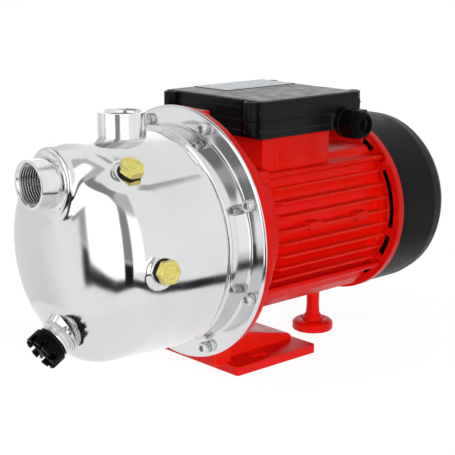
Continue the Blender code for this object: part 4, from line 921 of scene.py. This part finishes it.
def make_terminal_box():
    base = [box_tier(BOX_Z0, BOX_SPLIT_Z - 1.1, 0.8), box_tier(BOX_Z0 + 5.0, BOX_Z0 + 5.9, 0.45)]
    piece("box_base", joined(base), "black", stands_for=("terminal_box_base",), bevel=0.7)
    seam = box_tier(BOX_SPLIT_Z - 1.2, BOX_SPLIT_Z + 0.5, 1.6)
    piece("box_seam", seam, "rubber", stands_for=("terminal_box_gasket",), bevel=0.3)
    lid = [box_tier(BOX_SPLIT_Z + 0.3, 225.0, 0.0), box_tier(224.0, BOX_TOP - 0.35, 0.9)]
    piece("box_lid", joined(lid), "black", stands_for=("terminal_box_lid",), bevel=0.8)
    top_panel = rounded_rectangle(BOX_X0 + 3.4, BOX_X1 - 3.4, -BOX_HALF_Y + 3.4, BOX_HALF_Y - 3.4, 3.0)
    piece("box_lid_panel", prism(top_panel, 0.5, Matrix.Translation((0, 0, BOX_TOP - 0.5))), "black",
            bevel=0.3)
    towers = []
    for x, y in COLUMNS:
        towers.append(turned([(BOX_Z0 + 1.5, 0), (BOX_Z0 + 1.5, 3.6, 0.5), (BOX_Z0 + 4.5, COLUMN_R - 0.3,
                1.0), (BOX_SPLIT_Z - 1.1, COLUMN_R - 0.3, 0.5), (BOX_SPLIT_Z - 0.9, COLUMN_R - 1.0, 0.2),
                (BOX_SPLIT_Z + 0.1, COLUMN_R - 1.0, 0.2), (BOX_SPLIT_Z + 0.3, COLUMN_R, 0.5),
                (BOX_TOP - 0.5, COLUMN_R - 0.2, 0.6), (BOX_TOP - 0.5, 4.3, 0.3), (BOX_TOP - 4.6, 4.2, 0.2),
                (BOX_TOP - 4.6, 0)], 0.4, (x, y, 0), UP, 60))
    piece("screw_towers", joined(towers), "black", angle=35)
    dimples = []
    pip = [(-1.0, 0), (-1.0, 1.9, 0), (0.6, 1.7, 0.5), (0.9, 0)]
    for x, side_x in ((BOX_X0, -1), (BOX_X1, 1)):
        for y in (-59.0, 59.0):
            for z in (206.5, 221.0):
                dimples.append(turned(pip, 0.6, (x, y, z), (side_x, 0, 0), 24))
    piece("box_end_pips", joined(dimples), "black", angle=60)
    for n, (x, y) in enumerate(COLUMNS):
        head = BOX_TOP - 4.3
        rings = [(0, -18), (1.6, -18), (1.7, 0), (3.6, 0), (3.6, 1.3), (3.0, 2.0), (2.2, 2.3)]
        place = axis_frame((x, y, head), UP) @ Matrix.Rotation(0.7 * n, 4, "Z")

        def cross(z):
            return lambda a: (0.75 + 1.35 * abs(cos(2 * a)) ** 6, z)
        rings += [cross(2.3), cross(1.0), (0, 0.9)]
        piece(f"cover_screw_{n + 1}", polar(rings, place, 72), "bolt", stands_for=(f"lid_screw_{n + 1}",))
    label = rounded_rectangle(0.0, 85.0, 15.0, 59.0, 2.0)
    piece("label_border", prism(label, 0.25, Matrix.Translation((0, 0, BOX_TOP + 0.05))), "label_ink",
            stands_for=("rating_plate",))
    face = rounded_rectangle(1.3, 83.7, 16.3, 57.7, 1.4)
    piece("label_face", prism(face, 0.2, Matrix.Translation((0, 0, BOX_TOP + 0.2))), "label")


def make_gland():
    face = Vector((64.5, -BOX_HALF_Y, 206.0))
    boss = block((50.0, -BOX_HALF_Y - 1.2, BOX_Z0 + 0.6), (80.0, -58.0, BOX_SPLIT_Z - 1.3))
    piece("gland_boss", boss, "black", bevel=0.8)
    out = TO_SIDE
    piece("gland_base", turned([(-8, 4.7, 0), (-8, 6.6, 0.3), (1.2, 6.7, 0), (1.2, 12.0, 0.6),
            (2.4, 12.8, 0.6), (6.4, 12.8, 0.8), (7.0, 9.6, 0.2), (14.4, 9.6, 0.3), (14.4, 7.2, 0.3),
            (2, 7.2, 0.3), (0, 4.7, 0.2)], 0.3, face, out, 96, closed=True), "black",
            stands_for=("gland_body",))
    piece("gland_sleeve", turned([(14.8, 7.0, 0.3), (14.8, 9.2, 0.3), (19.5, 9.2, 0.5), (21.6, 8.3, 0.5),
            (22.0, 5.6, 0.6), (21.0, 5.4, 0.4)], 0.4, face, out, 72, closed=True), "rubber", "gland_seal",
            ("gland_seal",))
    place = axis_frame(face, out)

    def hexed(z, shrink=0.0):
        return lambda a: (hex_radius(23.8, a) - shrink, z)
    rings = [(10.0, 22.0), (9.9, 7.4), (10.6, 7.1), (11.4, 7.1), hexed(7.6), hexed(21.0), hexed(21.4, 0.3),
            lambda a: (min(hex_radius(23.8, a) - 1.0, 11.6), 22.6), (11.0, 23.9), (10.0, 25.2), (8.8, 25.9),
            (7.4, 25.9), (6.9, 25.4), (6.9, 23.0), (7.0, 22.4), (10.0, 22.0)]
    piece("gland_cap_nut", polar(rings, place, 120), "cap", "gland_nut", ("gland_nut",), angle=25)


def dress_cad_nodes():
    """Give each CAD node that stays in view, or shows through an opening, a finished material."""
    looks = {"engineering_plastic": "nylon", "brass": "brass", "shaft_steel": "shaft",
            "black_rubber": "rubber", "lamination_steel": "lamination", "copper": "copper",
            "light_plastic": "light", "ceramic": "ceramic", "polished_stainless": "flange",
            "red_paint": "red", "black_plastic": "black", "bolt_steel": "bolt", "label_aluminium": "label"}
    slots = {entry["node"]: entry["material_slot"] for entry in frame["record"]["subparts"]}
    for name, obj in frame["nodes"].items():
        mat = mats[looks[slots[name]]]
        if obj.data.materials:
            for index in range(len(obj.data.materials)):
                obj.data.materials[index] = mat
        else:
            obj.data.materials.append(mat)


# ---------------------------------------------------------------- studio
FLOOR_GLOW, FLOOR_BOUNCE = 0.92, 0.40
WALL_GLOW, SKY_LOW, SKY_RISE = 1.06, 0.09, 0.07


def make_floor():
    mat = bpy.data.materials.new("studio_floor")
    mat.use_nodes = True
    tree = mat.node_tree
    base = tree.nodes["Principled BSDF"]
    for name, value in (("Base Color", (0.20, 0.20, 0.20, 1)), ("Roughness", 0.8),
            ("Specular IOR Level", 0.1), ("Emission Color", (1, 1, 1, 1))):
        base.inputs[name].default_value = value
    ray = add_node(tree, "LightPath")
    glow = add_node(tree, "MapRange", To_Min=FLOOR_GLOW, To_Max=FLOOR_BOUNCE)
    tree.links.new(ray.outputs["Is Diffuse Ray"], glow.inputs["Value"])
    tree.links.new(glow.outputs["Result"], base.inputs["Emission Strength"])
    tex = add_node(tree, "TexNoise", Scale=40)
    bump = add_node(tree, "Bump", Strength=0.02)
    tree.links.new(tex.outputs["Fac"], bump.inputs["Height"])
    tree.links.new(bump.outputs["Normal"], base.inputs["Normal"])
    slab = prism(rounded_rectangle(-285, 270, -175, 200, 100), 4.0, Matrix.Translation((0, 0, -4.2)))
    floor = mesh_object("studio_floor", slab)
    floor.data.materials.append(mat)


def make_world():
    """White studio whose reflected side has soft windows, dark gaps and a dark ceiling."""
    world = bpy.data.worlds.new("studio")
    bpy.context.scene.world = world
    world.use_nodes = True
    tree, links = world.node_tree, world.node_tree.links
    tree.nodes.clear()
    out, coord, split = (add_node(tree, kind) for kind in ("OutputWorld", "TexCoord", "SeparateXYZ"))
    links.new(coord.outputs["Generated"], split.inputs["Vector"])

    def calc(operation, a, b=None, clamp=False):
        node = add_node(tree, "Math")
        node.operation = operation
        node.use_clamp = clamp
        for slot_index, value in enumerate((a, b)):
            if value is None:
                continue
            if isinstance(value, (int, float)):
                node.inputs[slot_index].default_value = value
            else:
                links.new(value, node.inputs[slot_index])
        return node.outputs[0]

    azimuth = calc("MULTIPLY", calc("ARCTAN2", split.outputs["Y"], split.outputs["X"]), 180 / pi)
    height = calc("MULTIPLY", calc("ARCSINE", split.outputs["Z"]), 180 / pi)

    def window(value, low, high, soft):
        """One between low and high, falling to zero over soft degrees outside."""
        rise = calc("DIVIDE", calc("SUBTRACT", value, low - soft), soft, clamp=True)
        fall = calc("DIVIDE", calc("SUBTRACT", high + soft, value), soft, clamp=True)
        return calc("MULTIPLY", rise, fall)

    around = calc("FRACT", calc("DIVIDE", calc("ADD", azimuth, 720), 360))
    turn = calc("MULTIPLY", around, 360)                      # 0 to 360, counted from +X
    level = WALL_GLOW
    # azimuth from and to, elevation from and to, softness, brightness; later rows lie over earlier ones
    cards = [(0, 360, -90, -37, 3.0, 1.06), (0, 360, -90, -58, 8.0, 0.80), (60, 118, -35, 60, 12.0, 0.84),
            (151.5, 199, -17, 38, 2.5, 1.7), (227, 261, -12, 36, 4.0, 1.6), (0, 80, 2, 30, 5.0, 1.35)]
    gaps = [(145, 149, -20, -9, 2.0, 0.02), (145, 149, -6, 32, 2.0, 0.42), (202, 222, -5, 40, 3.0, 0.30),
            (202, 222, -24, -9, 3.0, 0.01)]
    ring = [(118, 200, 42, 66, 6.0, 0.30), (200, 255, 44, 64, 8.0, 0.62), (325, 361, 56, 63, 4.0, 0.5)]

    def laid_over(level, share, value):
        keep = calc("MULTIPLY", level, calc("SUBTRACT", 1.0, share))
        return calc("ADD", keep, calc("MULTIPLY", share, value))

    for a0, a1, e0, e1, soft, value in cards + gaps + ring:
        share = calc("MULTIPLY", window(turn, a0, a1, soft), window(height, e0, e1, soft))
        level = laid_over(level, share, value)
    # Dark edge where the sweep meets the walls; it sinks as the walls turn away
    sink = calc("MULTIPLY", calc("DIVIDE", calc("SUBTRACT", turn, 147), 35, clamp=True), 8)
    sink = calc("ADD", sink, calc("MULTIPLY", calc("DIVIDE", calc("SUBTRACT", turn, 230), 60, clamp=True), 7))
    edge = window(calc("ADD", height, calc("ADD", sink, 16)), -3.2, 3.2, 1.5)
    share = calc("MULTIPLY", edge, window(turn, 145, 350, 3.0))
    level = laid_over(level, share, 0.01)
    ray = add_node(tree, "LightPath")
    white = (1, 1, 1, 1)
    glossy, plain = add_node(tree, "Background", Color=white), add_node(tree, "Background", Color=white)
    seen = add_node(tree, "Background", Color=white, Strength=1.0)
    links.new(level, glossy.inputs["Strength"])
    sky = calc("ADD", SKY_LOW, calc("MULTIPLY", calc("MAXIMUM", split.outputs["Z"], 0.0), SKY_RISE))
    links.new(sky, plain.inputs["Strength"])
    lit = plain
    for kind, other in (("Is Glossy Ray", glossy), ("Is Camera Ray", seen)):
        mix = add_node(tree, "MixShader")
        links.new(ray.outputs[kind], mix.inputs["Fac"])
        links.new(lit.outputs[0], mix.inputs[1])
        links.new(other.outputs[0], mix.inputs[2])
        lit = mix
    links.new(lit.outputs[0], out.inputs["Surface"])


def add_light(name, place, target, size, energy):
    data = bpy.data.lights.new(name, "AREA")
    data.energy = energy
    data.shape = "RECTANGLE"
    data.size, data.size_y = size
    lamp = bpy.data.objects.new(name, data)
    lamp.location = place
    lamp.rotation_euler = (Vector(target) - Vector(place)).to_track_quat("-Z", "Y").to_euler()
    lamp.visible_glossy = False
    link(lamp)


def make_studio():
    make_floor()
    make_world()
    add_light("key", (-0.85, -1.5, 0.44), (0, 0, 0.1), (0.5, 0.5), 22)
    add_light("top", (0.1, -0.4, 1.75), (0, 0, 0.1), (0.7, 0.7), 1.5)
    camera = bpy.data.objects.new("camera", bpy.data.cameras.new("camera"))
    camera.data.sensor_width = 36.0
    camera.data.lens = 96.7
    camera.location = (-0.7034, -0.7688, 0.3551)
    camera.rotation_euler = (radians(76.89), 0, radians(-41.96))
    bpy.context.scene.camera = link(camera)
    bpy.context.scene.view_settings.view_transform = "Standard"


make_casing()
make_sockets()
hex_plug("priming_plug", PRIMING_BASE, PRIMING_DIR, "priming_plug", "priming_seal")
hex_plug("gauge_plug", SIDE_BASE, SIDE_DIR, "gauge_plug", "gauge_seal")
make_drain_plug()
make_flange_bolts()
make_bracket()
make_base()
make_rear_foot()
make_housing()
make_end_shield()
make_tie_rods()
make_fan_cover()
make_terminal_box()
make_gland()
dress_cad_nodes()
make_studio()
